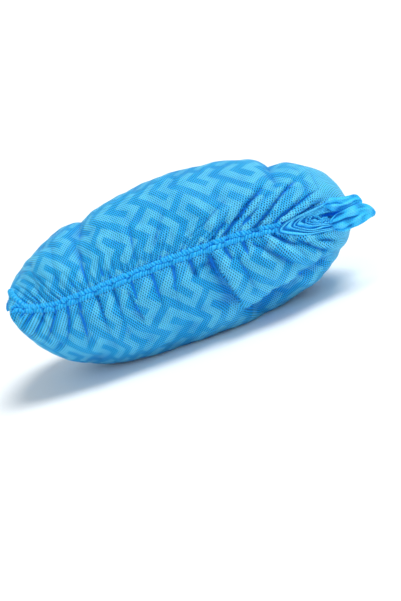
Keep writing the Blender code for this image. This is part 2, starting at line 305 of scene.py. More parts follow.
# The hems, the loose ends and the welded edges
HEM_SIDES = 25
HEM_RINGS = 900
HEM_PUCKER_PITCH = 2.1 * MM
HEM_PUCKER_DEPTH = 0.52
HEM_PUCKER_SLANT = 0.35
HEM_UNEVENNESS = 3.0
HEM_TOE_NARROWING = 0.35
HEM_TOE_SHARE = 0.09
HEM_BUNCHES = 0.022
HEM_BUNCHING = 0.15
HEM_SWAY = 0.2 * MM
HEM_PRESSED = 0.98
HEM_PUCKER_SHARPNESS = 0.7
HEM_PUCKER_MEAN = 0.75
HEM_NOISE = (90.0, 2.0, 0.5)
# Painted shade and highlight of the puckers: the rib level where shade turns to highlight, and its
# strength
HEM_PAINTED_SHADE = (0.6, 1.8)
HEM_END_SHARE = 0.012
HEM_SOCKETS = (
    ("Path", "Geometry"),
    ("Rings", "Int"),
    ("Sides", "Int"),
    ("Height", "Float"),
    ("Depth", "Float"),
    ("Pucker pitch", "Float"),
    ("Pucker depth", "Float"),
    ("Sway", "Float"),
    ("Chance", "Float"),
    ("Material", "Material"),
)
LOWER_EAR = (
    # along, across, up, height, thickness
    (101, -31, 52.8, 4, 1.6),
    (104, -33.5, 52.3, 7, 2),
    (108, -37.2, 52.4, 10.8, 2.2),
    (112, -39.2, 52.7, 13.2, 2.4),
    (117, -39.2, 53, 14.8, 2.4),
    (122, -37.4, 53, 15.6, 2.2),
    (128, -34.6, 52.7, 14.4, 2),
    (133, -32, 51.9, 12, 1.8),
    (137, -29.8, 50.2, 9.8, 1.6),
    (140.2, -28.2, 48.2, 6.2, 1.4),
)
UPPER_EAR = (
    (103.9, -34, 67.2, 4.7, 1.6),
    (109.1, -34.1, 66.5, 9.6, 2),
    (113.4, -33, 64.9, 10.6, 2.2),
    (117, -32.2, 63.5, 10.6, 2.2),
    (120.6, -31.5, 62.4, 10.2, 2.2),
    (124.4, -30.5, 62, 9.6, 2),
    (128.4, -29.3, 61.9, 8.8, 2),
    (131.3, -28.5, 60.8, 7.6, 1.8),
    (133.4, -28.1, 59.2, 5.2, 1.6),
)

# Folds of the loose ends: where each starts and how it slopes, from -1 at the lower edge to 1
# at the upper one, its depth in millimetres and width, and the shares of the length it runs
# between
LOWER_EAR_FOLDS = (
    (0.24, -0.42, 3, 0.10, -0.1, 0.74), (0.60, -0.25, -1.1, 0.20, 0.1, 0.95),
    (0.84, -0.25, 1.5, 0.09, 0.1, 0.50), (-0.38, 0.15, -1.1, 0.18, 0.1, 0.85),
    (-0.74, 0.20, 1.5, 0.10, 0, 0.60), (0.50, 0.05, 0.9, 0.08, 0.5, 0.90),
    (-0.60, 0.30, 0.8, 0.10, 0.45, 0.92),
)
UPPER_EAR_FOLDS = (
    (0.40, -0.60, 2.6, 0.16, -0.1, 0.55), (-0.30, 0.50, -1, 0.22, 0.2, 1),
    (-0.62, 0.70, 1.4, 0.12, 0.35, 0.95), (0.80, -0.10, -1, 0.16, 0, 0.80),
)
EAR_CRUMPLE = (7, 7 * MM, 15 * MM, 0.65 * MM)
# The fold depth that gives the ears their full painted shade and highlight
EAR_PAINTED_SHADE_DEPTH = 2.0 * MM
LEAF_RINGS = 90
LEAF_TIP = 0.9
LEAF_ROOT = 0.22
LEAF_UNEVEN = 0.09
LEAF_UNEVEN_PITCHES = (0.13, 0.17)
LEAF_FLATNESS = 0.5
LEAF_SWING = 0.09
LEAF_SWING_PITCH = 0.2
LEAF_FADE_IN = 0.12
LEAF_FADE_OUT = 0.18
LEAF_SIDES = 64
STRIP_TURN = math.radians(40)
STRIP_POINTS = 160
STRIP_ROWS = 9
STRIP_WIDTH = 5.0 * MM
STRIP_GAP = -0.2 * MM
STRIP_THICKNESS = 0.9 * MM
STRIP_LENGTH_DOTS = 34
STRIP_WAVE = 0.35 * MM
STRIP_WAVE_GROW_IN = 0.4
# The strip's long waves and its short ones: how strong, how many, and how far they slant
STRIP_LONG_WAVES = (1.0, 9.3, 0.2)
STRIP_SHORT_WAVES = (0.6, 21.7, -0.3)
STRIP_ROUNDING = 0.25
STRIP_UNEVEN = 0.12
STRIP_UNEVEN_PITCH = 0.12
STRIP_DOT_DEPTH = 0.55
STRIP_WELD_PLACE = 0.4
STRIP_WELD_WIDTH = 0.16
STRIP_END_SHARPNESS = 40
STRIP_END_LEAST = 0.05
UPWARD = np.array([0.0, 0.0, 1.0])

# The photograph is 401 by 601 pixels, 1.344 to the millimetre at the cover
PHOTO_SIZE = (401, 601)
PHOTO_SCALE = 1.344
TARGET_PIXEL = (190.0, 265.0)
CAMERA_TARGET = (-0.0026, -0.0009, 0.0506)
CAMERA_DISTANCE = 1.2
CAMERA_RISE = 15.0
CAMERA_ROLL = -20.0
CAMERA_CLIP = (0.05, 50.0)
SENSOR_WIDTH = 36.0
FRAME_SHIFT = (-2.56, -0.9, 0.0)
STUDIO_HALF = 16.0
STUDIO_BACK = 14.0
STUDIO_BEND = 2.0
STUDIO_TOP = 5.0
WORLD_TINT = "#fafdff"
WORLD_STRENGTH = 0.51
SOFT_LIGHTS = (
    # name, the way it comes from, how broad it is in degrees, strength
    ("raking_light", (0.45, -0.08, 1.15), 28, 2.2),
    ("front_light", (-0.3, -1, 0.5), 60, 0.25),
)

# The cloth solver
SOLVER_STEPS = 160
THREAD_SHARE = 0.9
BEND_SHARE = 0.30
BEND_ROOM = 0.93
PUFF = 0.012 * MM
GOAL_SHARE = 0.010
NORMAL_EVERY = 4

# The printed tread: how far along the flat sheet each place on the cover is, in millimetres,
# the bars' width, and between which places, and how far, they give way to plain paler sheet
# beside the heel seam
TREAD_ALONG = (
    (-134, -126), (-110, -86), (-94, -63), (-78, -42.4), (-66.9, -25.5),
    (-51.2, 0), (-14.6, 33.9), (13.7, 67.9), (45.1, 101.8), (80.6, 135.8), (130, 190),
)
TREAD_BAR = 6.0
TREAD_START = 10.07
TREAD_REPEAT = (8.0, 14.0)
TREAD_WRAPS = (-3.0, -1.0)
HEEL_PALING = (156.0, 166.0, 0.0, 0.8)
TREAD_EDGE = 0.1
TREAD_FIGURE = (
    # middle and half size along the two ways of the turned grid, in bar widths
    (2, 3, 0.5, 1.5),
    (1, 2, 1.5, 0.5),
    (0, 1, 0.5, 1.5),
    (2, 0, 2.5, 0.5),
    (4, 1, 0.5, 1.5),
)

# The points that bond the fibres: how far apart in millimetres, how their grid is stretched along
# and across the sheet, how they stand out and how far the print hides them
EMBOSS_PITCH = 1.65
BOND_STRETCH = (1.26, 0.78)
BOND_RANGE = (0.1, 1.5)
BOND_DEPTH = 1.75
BOND_MEAN = 0.31
BOND_DARKEST = 0.06
BOND_BUMP = 0.35
BOND_HEIGHT = 0.12 * MM
PRINT_HIDES = 0.80
PLAIN_BOND_DEPTH = 0.28
PLAIN_BRIGHTNESS = 1.09

# Where the print is worn: the noise's scale, detail and roughness, and the range it is read by
WORN_NOISE = (0.045, 2.0, 0.5)
WORN_RANGE = (0.3, 0.62, 0.55, 1.0)

# Cloudy unevenness: scale, detail, roughness, how far it brightens and from what
PRINTED_CLOUD = (0.16, 3.0, 0.55, 0.22, 0.89)
PLAIN_CLOUD = (0.3, 2.0, 0.5, 0.25, 0.88)
PAPER_CLOUD = (3.0, 2.0, 0.5, 0.01, 0.99)

# Thin matt polypropylene fibre, which lets a little light through
FIBRE = {
    "Roughness": 0.62, "IOR": 1.49, "Specular IOR Level": 0.2, "Sheen Weight": 0.04,
    "Sheen Roughness": 0.5, "Subsurface Weight": 0.2, "Subsurface Scale": 1.0,
    "Subsurface Radius": (0.0003, 0.0008, 0.0014),
}
PAPER = {"Roughness": 0.9, "Specular IOR Level": 0.1}

# Colours are sRGB
SHEET_BLUE = "#1590ca"
PRINT_BLUE = "#4fb5de"
# The sheet's blue, painted paler for the light that comes through single plies
FANNED_BLUE_WITH_PAINTED_LIGHT = "#34c0f8"
HEM_BLUE = "#08b0f4"
WELD_BLUE = "#1a98dc"
# The next two are a painted shade for fold valleys and a painted highlight for fold crests
PAINTED_VALLEY_SHADE_BLUE = "#066ec0"
PAINTED_CREST_HIGHLIGHT_BLUE = "#6fd2fc"

# How far the valleys of folds take on a painted shade and their crests a painted highlight
GATHERED_PAINTED_SHADE_SHARES = (0.52, 0.4)
PRINTED_PAINTED_SHADE_SHARES = (0.5, 0.2)
FANNED_PAINTED_SHADE_SHARES = (0.85, 0.4)
# The height above the sheet round it that counts as a full crest of painted highlight, and how broad that
# round is
FOLD_HEIGHT_RANGE = 1.6 * MM
FOLD_HEIGHT_SPREAD = 60
# Painted shade and glow: the lining's deeper blue, which is also the painted glow's colour, then how
# strongly the lining and the fanned plies glow
HOLLOW_SHADE_AND_GLOW_BLUE = "#0a78d2"
LINING_PAINTED_GLOW = 0.26
FANNED_PAINTED_GLOW = 0.07
FLOOR_WHITE = "#fbfdfd"


def linear(code):
    """An sRGB hex colour as linear red, green, blue and alpha."""
    parts = [int(code[i:i + 2], 16) / 255 for i in (1, 3, 5)]
    return tuple(p / 12.92 if p <= 0.04045 else ((p + 0.055) / 1.055) ** 2.4 for p in parts) + (1.0,)


def smooth_step(value):
    """0 below 0, 1 above 1 and smooth between."""
    held = np.clip(value, 0.0, 1.0)
    return held * held * (3.0 - 2.0 * held)


def unit(vectors):
    """The vectors at length 1."""
    return vectors / np.maximum(np.linalg.norm(vectors, axis=-1, keepdims=True), 1e-12)


def from_table(table, column, along):
    """A table's column read at places along X. Its first column is the place, in millimetres."""
    rows = np.array(table, float)
    return np.interp(along, rows[:, 0] * MM, rows[:, column])


def read_through(knots, values, places):
    """The values at some places on a smooth curve through the knots."""
    slopes = np.gradient(values, knots)
    cell = np.clip(np.searchsorted(knots, places) - 1, 0, len(knots) - 2)
    width = knots[cell + 1] - knots[cell]
    share = (places - knots[cell]) / width
    square, cube = share**2, share**3
    return (
        (2 * cube - 3 * square + 1) * values[cell]
        + (3 * square - 2 * cube) * values[cell + 1]
        + (cube - 2 * square + share) * width * slopes[cell]
        + (cube - square) * width * slopes[cell + 1]
    )


def even_curve(table, count):
    """Evenly spaced places on a smooth curve through the rows of a table, and how far along it
    each one is. The first columns of the table, up to three, are the place."""
    steps = np.linalg.norm(np.diff(table[:, :3], axis=0), axis=1)
    knots = np.concatenate([[0.0], np.cumsum(steps)])
    walked = np.linspace(0.0, knots[-1], count)
    return np.stack([read_through(knots, column, walked) for column in table.T], axis=-1), walked


def wander_line(share, pitch, size):
    """A smooth line of seeded chance from 0 to 1."""
    knots = np.arange(-pitch, 1 + 2 * pitch, pitch)
    values = CHANCE.uniform(-size, size, len(knots))
    return read_through(knots, values, share)


def end_taper(along, reach):
    """0 at either end of the cover and 1 further in than reach."""
    first, last = SECTIONS[0][0] * MM, SECTIONS[-1][0] * MM
    return smooth_step((along - first) / reach) * smooth_step((last - along) / reach)


def grid_normals(points):
    """The outward direction at each point of a grid of columns and rows."""
    return unit(np.cross(np.gradient(points, axis=0), np.gradient(points, axis=1)))


def smoothed(values, times):
    """A grid of values, each blended with its neighbours both ways."""
    values = values.copy()
    for _ in range(times):
        values[1:-1] = (values[:-2] + 2 * values[1:-1] + values[2:]) / 4
        values[:, 1:-1] = (values[:, :-2] + 2 * values[:, 1:-1] + values[:, 2:]) / 4
    return values


class Form:
    """The puffed form as a grid: columns toe to heel, and rows from the upper lip over the top,
    round the sole and up to the lower lip. Upper distances from the slit are positive."""

    def __init__(self):
        table = np.array(SECTIONS, float)
        sizes = table[:, :7] * MM
        along, low, high = sizes[:, :3].T
        steps = np.sqrt(np.diff(along) ** 2 + (np.diff(low) ** 2 + np.diff(high) ** 2) / 2)
        knots = np.concatenate([[0.0], np.cumsum(steps)])
        places = np.linspace(0.0, knots[-1], COLUMNS)
        names = ("along", "low", "high", "front", "back", "front_lean", "back_lean")
        for i, name in enumerate(names):
            setattr(self, name, read_through(knots, sizes[:, i], places)[:, None])
        self.turn = read_through(knots, np.radians(table[:, 7]), places)[:, None]
        self.angles = self.turn + np.linspace(-math.pi, math.pi, 2 * TURN_STEPS + 1)
        path = self.point(self.angles)[..., 1:]
        walked = np.cumsum(np.linalg.norm(np.diff(path, axis=1), axis=-1), axis=1)
        walked = np.concatenate([np.zeros((COLUMNS, 1)), walked], axis=1)
        self.distances = walked - walked[:, TURN_STEPS][:, None]
        self.half_up = self.distances[:, -1][:, None]
        self.half_down = -self.distances[:, 0][:, None]

    def point(self, angle):
        """Points of the smooth form. The angle goes round a section, from the front upwards."""
        depth = (self.back - self.front) / 2
        height = (self.high - self.low) / 2
        frontness = (1 + np.cos(angle)) / 2
        lean = self.front_lean * frontness**2 + self.back_lean * (1 - frontness) ** 2
        y = (self.back + self.front) / 2 - depth * np.cos(angle)
        rise = TOE_RISE * (y - self.front)
        rise = rise * (1 - smooth_step((self.along - self.along[0]) / TOE_RISE_REACH))
        z = (self.high + self.low) / 2 + height * np.sin(angle) + rise
        return np.stack([self.along + lean, y, z], axis=-1)

    def at(self, distance):
        """Points of the smooth form at signed distances from the slit's own line."""
        angle = [np.interp(distance[i], self.distances[i], self.angles[i]) for i in range(COLUMNS)]
        return self.point(np.array(angle))


def slit_raise(along):
    """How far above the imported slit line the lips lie, once the folds have settled."""
    return from_table(SLIT_RAISE, 1, along) * MM * end_taper(along, SLIT_END_TAPER)


def slit_gap(along):
    """The free gap between the two hems."""
    near = np.clip(np.abs(along - GAPE_CENTRE) / GAPE_REACH, 0.0, 1.0)
    return SLIT_CLOSED + (SLIT_GAPE - SLIT_CLOSED) * np.cos(near * math.pi / 2) ** 2


def row_shares():
    """How far along a panel each of its rows is, from 0 at the lip to 1 at the sole."""
    places = [0.0]
    while places[-1] < NOMINAL_HALF:
        beyond = (places[-1] - NEAR_ROWS_REACH) / (FAR_ROWS_FROM - NEAR_ROWS_REACH)
        places.append(places[-1] + NEAR_ROW + (FAR_ROW - NEAR_ROW) * float(smooth_step(beyond)))
    return np.array(places) / places[-1]


def sheet_distances(form):
    """Each grid point's signed distance from the slit's centre line, and the line's rise."""
    share = row_shares()
    rise = slit_raise(form.along)
    lip = slit_gap(form.along) / 2 + HEM_COVERS * HEM_HEIGHT
    lip = lip * end_taper(form.along, SLIT_END_TAPER)
    upper = lip + share * (form.half_up - rise - lip)
    lower = -lip - share * (form.half_down + rise - lip)
    return np.concatenate([upper, lower[:, -2::-1]], axis=1), rise


def pinch(along, away):
    """How far the elastic draws the sheet in beside the slit."""
    return -PINCH_DEPTH * np.exp(-((away / PINCH_REACH) ** 2)) * end_taper(along, PINCH_END_TAPER)


def upper_pleats(along, away):
    """Fine pleats that fan out from the upper lip."""
    lean, depth, reach = (from_table(UPPER_PLEATS, column, along) for column in (1, 3, 4))
    start = along - lean * away
    fine = np.linspace(-PLEATS_SPAN, PLEATS_SPAN, 4000)
    spacing = from_table(UPPER_PLEATS, 2, fine) * MM
    count = np.concatenate([[0.0], np.cumsum(np.diff(fine) / spacing[1:])])
    knots = np.arange(-PLEATS_SPAN, PLEATS_SPAN + PLEATS_CHANCE_PITCH, PLEATS_CHANCE_PITCH)
    count = count + np.interp(fine, knots, CHANCE.uniform(-PLEATS_CHANCE, PLEATS_CHANCE, len(knots)))
    phase = np.interp(start, fine, count)
    mean, swing, pace, start_phase = PLEATS_VARIETY
    strength = mean + swing * np.sin(pace * phase + start_phase)
    wave = 2 * np.abs(np.sin(math.pi * phase)) ** PLEATS_SHARPNESS - PLEATS_MEAN
    grown = smooth_step(away / PLEATS_GROW_IN)
    return depth * MM * wave * strength * grown * np.exp(-((away / (reach * MM)) ** PLEATS_FALL))


def lower_lobes(along, away):
    """Rounded lobes with sharp valleys between them, below the lower lip."""
    lean, depth, reach = (from_table(LOWER_LOBES, column, along) for column in (1, 2, 3))
    valleys = np.array(LOWER_VALLEYS) * MM
    phase = np.interp(along - lean * away, valleys, np.arange(len(valleys)))
    lobe = np.abs(np.sin(math.pi * phase)) ** LOBES_SHARPNESS - LOBES_MEAN
    lobe = lobe * smooth_step(away / LOBES_GROW_IN) * np.exp(-((away / (reach * MM)) ** LOBES_FALL))
    fine = np.abs(np.sin(2 * math.pi * phase)) - LIP_PLEATS_MEAN
    near = np.exp(-((away / LIP_PLEATS_REACH) ** 2)) * smooth_step(away / LIP_PLEATS_GROW_IN)
    return depth * MM * lobe + LIP_PLEATS_DEPTH * fine * near


def beside_line(along, away, row):
    """How far each place is along a fold's line, from 0 to 1, and beside it, with its sizes."""
    from_along, from_away, to_along, to_away, depth, width = (size * MM for size in row)
    run = np.array([to_along - from_along, to_away - from_away])
    length = np.hypot(*run)
    run = run / length
    share = ((along - from_along) * run[0] + (away - from_away) * run[1]) / length
    across = (along - from_along) * run[1] - (away - from_away) * run[0]
    return share, across, depth, width


def folds(along, away, panel):
    """The larger creases and ridges of one panel."""
    push = np.zeros_like(away)
    for row in FOLDS[panel]:
        share, across, depth, width = beside_line(along, away, row)
        fade = smooth_step(share / FADE_IN) * smooth_step((1 - share) / FOLD_FADE_OUT)
        sharpness = FOLD_SHARPNESS if depth > 0 else RIDGE_SHARPNESS
        crease = np.exp(-(np.abs(across / width) ** sharpness))
        rims = np.exp(-(((np.abs(across) - FOLD_RIM_PLACE * width) / width) ** 2))
        rim_share = FOLD_RIM_SHARE * min(1.0, FOLD_RIM_WIDTH / width)
        push = push - depth * fade * (crease - rim_share * rims)
    return push


def ledges(along, away, panel):
    """The lobes of one panel that lie over the sheet beside them."""
    push = np.zeros_like(away)
    for row in LEDGES[panel]:
        share, across, depth, width = beside_line(along, away, row)
        fade = smooth_step(share / FADE_IN) * smooth_step((1 - share) / LEDGE_FADE_OUT)
        deep = smooth_step(-across / LEDGE_EDGE) * np.exp(-((across / width) ** 2))
        rim = np.exp(-(((across - LEDGE_RIM_PLACE) / LEDGE_RIM_PLACE) ** 2))
        push = push - depth * fade * (deep - LEDGE_RIM_SHARE * rim)
    return push


def mouth_well(along, from_slit):
    """1 under the mouth's fan of folds, where the sheet itself lies deeper, and 0 elsewhere."""
    edge = np.array(MOUTH_OUTER) * MM
    upper, lower = edge[:MOUTH_APEX + 1][::-1], edge[MOUTH_APEX:]
    above = np.interp(along, upper[:, 0], upper[:, 1]) - from_slit
    below = from_slit - np.interp(along, lower[:, 0], lower[:, 1])
    ahead = smooth_step((along - edge[MOUTH_APEX, 0]) / MOUTH_WELL_EDGE)
    return smooth_step(np.minimum(above, below) / MOUTH_WELL_EDGE) * ahead


def crumple(along, distance, waves, shortest, longest, size):
    """Slight unevenness of soft sheet: seeded waves of several lengths and directions."""
    total = np.zeros_like(distance)
    for _ in range(waves):
        length = math.exp(CHANCE.uniform(math.log(shortest), math.log(longest)))
        heading = CHANCE.uniform(0, math.pi)
        shift = CHANCE.uniform(0, 2 * math.pi)
        path = along * math.cos(heading) + distance * math.sin(heading)
        total = total + size * (length / longest) * np.sin(2 * math.pi * path / length + shift)
    return total


def folded_form(form, distance, rise):
    """The folded shape that the sheet is let settle from, and its smooth form."""
    along = form.along + 0 * distance
    from_slit = distance + rise
    away, beside = np.abs(distance), np.abs(from_slit)
    smooth = form.at(from_slit)
    smooth = smooth + grid_normals(smooth) * pinch(along, away)[..., None]
    normals = grid_normals(smooth)
    upper, lower = (
        pleats(along, away) + folds(along, beside, panel) + ledges(along, beside, panel)
        for pleats, panel in ((upper_pleats, "upper"), (lower_lobes, "lower"))
    )
    well = mouth_well(along, from_slit)
    push = np.where(distance > 0, upper, lower) * (1 - well) - MOUTH_WELL * well
    soft = crumple(along, distance, *SOFT_CRUMPLE) * smooth_step(away / SOFT_CRUMPLE_FROM)
    push = push + soft + crumple(along, distance, *FINE_CRUMPLE)
    folded = smooth + normals * (push * end_taper(along, FOLD_END_TAPER))[..., None]
    for points in (folded, smooth):
        points[..., 2] = np.maximum(points[..., 2], 0.0)
    return folded, smooth


def thread_lengths(points, axis):
    """The lengths of the threads between neighbours along one way of the grid."""
    return np.linalg.norm(np.diff(points, axis=axis), axis=-1)


def pull(points, free, axis, pace, rest, share, only_push=False):
    """Brings the threads along one way of the grid to their rest lengths. Threads that meet in
    a point are taken in turn."""
    count = points.shape[axis]
    for turn in range(2 * pace):
        near, far = [slice(None)] * 2, [slice(None)] * 2
        near[axis] = slice(turn, count - pace, 2 * pace)
        far[axis] = slice(turn + pace, None, 2 * pace)
        here, there = tuple(near), tuple(far)
        gap = points[there] - points[here]
        length = np.sqrt(np.einsum("ijk,ijk->ij", gap, gap)) + 1e-9
        over = (length - rest[here]) / length
        if only_push:
            over = np.minimum(over, 0.0)
        move = gap * (0.5 * share * over)[..., None]
        points[here] += move * free[here]
        points[there] -= move * free[there]


def settle(folded, smooth, distance, free):
    """Lets the sheet settle: its threads keep the lengths they were cut to, the elastic's
    gathers buckle, the sheet resists sharp bends, and the air inside puffs it out."""
    excess, reach = (np.where(distance > 0, sizes["upper"], sizes["lower"])
                     for sizes in (GATHER_EXCESS, GATHER_REACH))
    excess = SLACK + excess * np.exp(-((distance / reach) ** 2))
    along_rest = np.maximum(thread_lengths(smooth, 0) * (1 + excess[1:]), 1e-6)
    along_rest = 0.5 * along_rest + 0.5 * thread_lengths(folded, 0)
    round_rest = thread_lengths(folded, 1)
    bend_rest = BEND_ROOM * (along_rest[1:] + along_rest[:-1])
    round_bend_rest = BEND_ROOM * (round_rest[:, 1:] + round_rest[:, :-1])
    points = folded.copy()
    for step in range(SOLVER_STEPS):
        if step % NORMAL_EVERY == 0:
            normals = grid_normals(points)
        points += normals * (PUFF * free)
        points += (folded - points) * (GOAL_SHARE * free)
        pull(points, free, 0, 1, along_rest, THREAD_SHARE)
        pull(points, free, 1, 1, round_rest, THREAD_SHARE)
        pull(points, free, 0, 2, bend_rest, BEND_SHARE, only_push=True)
        pull(points, free, 1, 2, round_bend_rest, BEND_SHARE, only_push=True)
        points[..., 2] = np.maximum(points[..., 2], 0.0)
    return points


def linked(name, data):
    """A new object in the scene."""
    made = bpy.data.objects.new(name, data)
    bpy.context.scene.collection.objects.link(made)
    return made


def mesh_from(name, points, faces, edges=()):
    """An object of plain mesh, in place."""
    mesh = bpy.data.meshes.new(name)
    mesh.from_pydata([tuple(map(float, p)) for p in points.reshape(-1, 3)], edges, faces)
    mesh.shade_smooth()
    return linked(name, mesh)


def grid_faces(columns, rows, first=0, turned=False):
    """The quads of a grid of points stored column by column."""
    faces = []
    for i in range(columns - 1):
        for j in range(rows - 1):
            here = first + i * rows + j
            quad = (here, here + rows, here + rows + 1, here + 1)
            faces.append(quad[::-1] if turned else quad)
    return faces


def tube_faces(rings, sides):
    """The quads of a tube of points stored ring by ring."""
    return [(i * sides + j, i * sides + k, (i + 1) * sides + k, (i + 1) * sides + j)
            for i in range(rings - 1) for j, k in zip(range(sides), [*range(1, sides), 0])]


def edge_faces(outer, inner, turned):
    """The sheet's cut edge along one lip, between its fine outer and its coarse inner side."""
    faces = []
    pairs = list(zip(outer, inner))
    for (here, mine), (there, next_one) in zip(pairs, pairs[1:]):
        made = [(here, there, mine)]
        if mine != next_one:
            made.append((mine, there, next_one))
        faces += [(b, a, c) if turned else (a, b, c) for a, b, c in made]
    return faces


def store(made, name, values):
    """Keeps a direction for each point of a mesh under a name, or a number three times over."""
    count = len(made.data.vertices)
    kept = np.broadcast_to(np.reshape(values, (count, -1)), (count, 3))
    attribute = made.data.attributes.new(name, "FLOAT_VECTOR", "POINT")
    attribute.data.foreach_set("vector", kept.astype(np.float32).ravel())


def face_outwards(made, ends=()):
    """Turns the faces of a closed piece outwards, once the points at its ends are joined where
    they lie on each other."""
    shape = bmesh.new()
    shape.from_mesh(made.data)
    if len(ends):
        shape.verts.ensure_lookup_table()
        bmesh.ops.remove_doubles(shape, verts=[shape.verts[i] for i in ends], dist=JOINED_WITHIN)
        bmesh.ops.dissolve_degenerate(shape, dist=JOINED_WITHIN / 10, edges=shape.edges)
    bmesh.ops.recalc_face_normals(shape, faces=shape.faces)
    if shape.calc_volume(signed=True) < 0:
        bmesh.ops.reverse_faces(shape, faces=shape.faces)
    shape.to_mesh(made.data)
    shape.free()


def cut_places(form, distance, rise):
    """Where each grid point was on the flat sheet, in millimetres: along it, across it from the
    upper lip, and along it again without the gathers, for the weave between the pleats."""
    along = (form.along + 0 * distance) / MM
    from_slit = distance + rise
    width = CUT_WIDTH / MM
    half = np.where(from_slit > 0, form.half_up, form.half_down)
    gain = 1 + (width / 2 / (half / MM) - 1) * smooth_step(np.abs(from_slit) / half)
    beside = np.abs(from_slit) / MM * gain
    across = np.where(from_slit > 0, beside, width - beside)
    return np.stack([np.interp(along, *np.array(TREAD_ALONG).T), across, along], axis=-1)


def lining_of(points):
    """The inner side of the sheet on a coarser grid, and the grid columns it is taken at."""
    columns = np.arange(LINING_FIRST, COLUMNS - LINING_FIRST, LINING_STEP)
    normals = grid_normals(points)
    inner = smoothed(points - normals * SHEET_THICKNESS, LINING_SMOOTHING)
    inside = ((points - inner) * normals).sum(-1)
    inner = inner - normals * np.maximum(SHEET_THICKNESS - inside, 0.0)[..., None]
    inner = inner[columns][:, ::LINING_ROW_STEP]
    for end in (0, -1):
        inner[end] = (inner[end] + inner[end][::-1]) / 2
    return inner, columns


def fold_heights(points, smooth):
    """How far each place of the sheet stands out of the sheet round it, from -1 to 1. It sets
    the painted shade and highlight of the folds.
    """
    height = ((points - smooth) * grid_normals(smooth)).sum(-1)
    return np.clip((height - smoothed(height, FOLD_HEIGHT_SPREAD)) / FOLD_HEIGHT_RANGE, -1, 1)


def sheet_piece(points, smooth, places, materials):
    """The printed sheet: its outer side, its inner side and the edges that join them."""
    columns, rows = points.shape[:2]
    inner, taken = lining_of(points)
    inner_rows = inner.shape[1]
    first = columns * rows
    faces = grid_faces(columns, rows) + grid_faces(len(taken), inner_rows, first, turned=True)
    nearest = np.searchsorted(taken, np.arange(columns), side="right") - 1
    nearest = np.maximum(nearest, 0).tolist()
    for row, inner_row, turned in ((0, 0, True), (rows - 1, inner_rows - 1, False)):
        outer_edge = [i * rows + row for i in range(columns)]
        faces += edge_faces(outer_edge, [first + k * inner_rows + inner_row for k in nearest], turned)
    corners = np.concatenate([points.reshape(-1, 3), inner.reshape(-1, 3)])
    made = mesh_from("printed_sheet", corners, faces)
    inner_places = places[taken][:, ::LINING_ROW_STEP]
    store(made, "cut_place", np.concatenate([places.reshape(-1, 3), inner_places.reshape(-1, 3)]))
    heights = fold_heights(points, smooth).ravel()
    # The fold heights set the painted shade and highlight of the outer side; the lining has none
    store(made, "fold_shade_and_highlight", np.concatenate([heights, np.zeros(len(taken) * inner_rows)]))
    sides = np.zeros(len(faces), np.int32)
    outer_faces = (columns - 1) * (rows - 1)
    sides[outer_faces:outer_faces + (len(taken) - 1) * (inner_rows - 1)] = 1
    for material in materials:
        made.data.materials.append(material)
    made.data.polygons.foreach_set("material_index", sides)
    ends = [i * rows + j for i in (0, columns - 1) for j in range(rows)]
    ends += [first + i * inner_rows + j for i in (0, len(taken) - 1) for j in range(inner_rows)]
    face_outwards(made, ends)
    return made


# A mixing node's sockets for numbers and directions, which stay as they are in a mix of colours
NO_NUMBERS = (None,) * 5


def add(tree, kind, *values, sockets=None, **settings):
    """Adds one node and gives its first output. A value is set on its socket and another node's
    output is linked, in the sockets' order or by their names. A kind in capitals is a sum."""
    if kind.isupper():
        kind, settings["operation"] = "ShaderNodeMath", kind
    made = tree.nodes.new(kind)
    for name, setting in settings.items():
        setattr(made, name, setting)
    named = [(made.inputs[name], value) for name, value in (sockets or {}).items()]
    for socket, value in [*zip(made.inputs, values), *named]:
        if isinstance(value, bpy.types.NodeSocket):
            tree.links.new(value, socket)
        elif value is not None:
            socket.default_value = value
    return made.outputs[0]


def new_material(name, finish):
    """A material with its surface, ready for a pattern."""
    made = bpy.data.materials.new(name)
    made.use_nodes = True
    surface = made.node_tree.nodes["Principled BSDF"]
    for socket, value in finish.items():
        surface.inputs[socket].default_value = value
    return made, made.node_tree, surface


def tread_bars(tree, along, across):
    """How far outside the nearest printed bar a place is, in bar widths. One figure of five
    bars and its half turn repeat on a grid that stands at 45 degrees to the sheet."""
    diagonal = TREAD_BAR / math.sqrt(2)
    step, row = TREAD_REPEAT
    first = add(tree, "DIVIDE", along, diagonal)
    second = add(tree, "SUBTRACT", TREAD_START, add(tree, "DIVIDE", across, diagonal))
    count = add(tree, "FLOOR", add(tree, "DIVIDE", add(tree, "ADD", second, row / 2), row))
    second = add(tree, "SUBTRACT", second, add(tree, "MULTIPLY", count, row))
    first = add(tree, "SUBTRACT", first, add(tree, "MULTIPLY", count, 2.0))
    nearest = None
    for turned, start in zip((False, True), TREAD_WRAPS):
        place = add(tree, "WRAP", first, start + step, start)
        a = add(tree, "DIVIDE", add(tree, "ADD", place, second), 2.0)
        b = add(tree, "DIVIDE", add(tree, "SUBTRACT", second, place), 2.0)
        spot = add(tree, "ShaderNodeCombineXYZ", a, b)
        for middle_a, middle_b, half_a, half_b in TREAD_FIGURE:
            middle = (2 - middle_a, -2 - middle_b, 0) if turned else (middle_a, middle_b, 0)
            off = add(tree, "ShaderNodeVectorMath", spot, middle, operation="SUBTRACT")
            off = add(tree, "ShaderNodeVectorMath", off, operation="ABSOLUTE")
            off = add(tree, "ShaderNodeVectorMath", off, (half_a, half_b, 0), operation="SUBTRACT")
            off = add(tree, "ShaderNodeSeparateXYZ", off).node.outputs
            outside = add(tree, "MAXIMUM", off[0], off[1])
            nearest = outside if nearest is None else add(tree, "MINIMUM", nearest, outside)
    return nearest


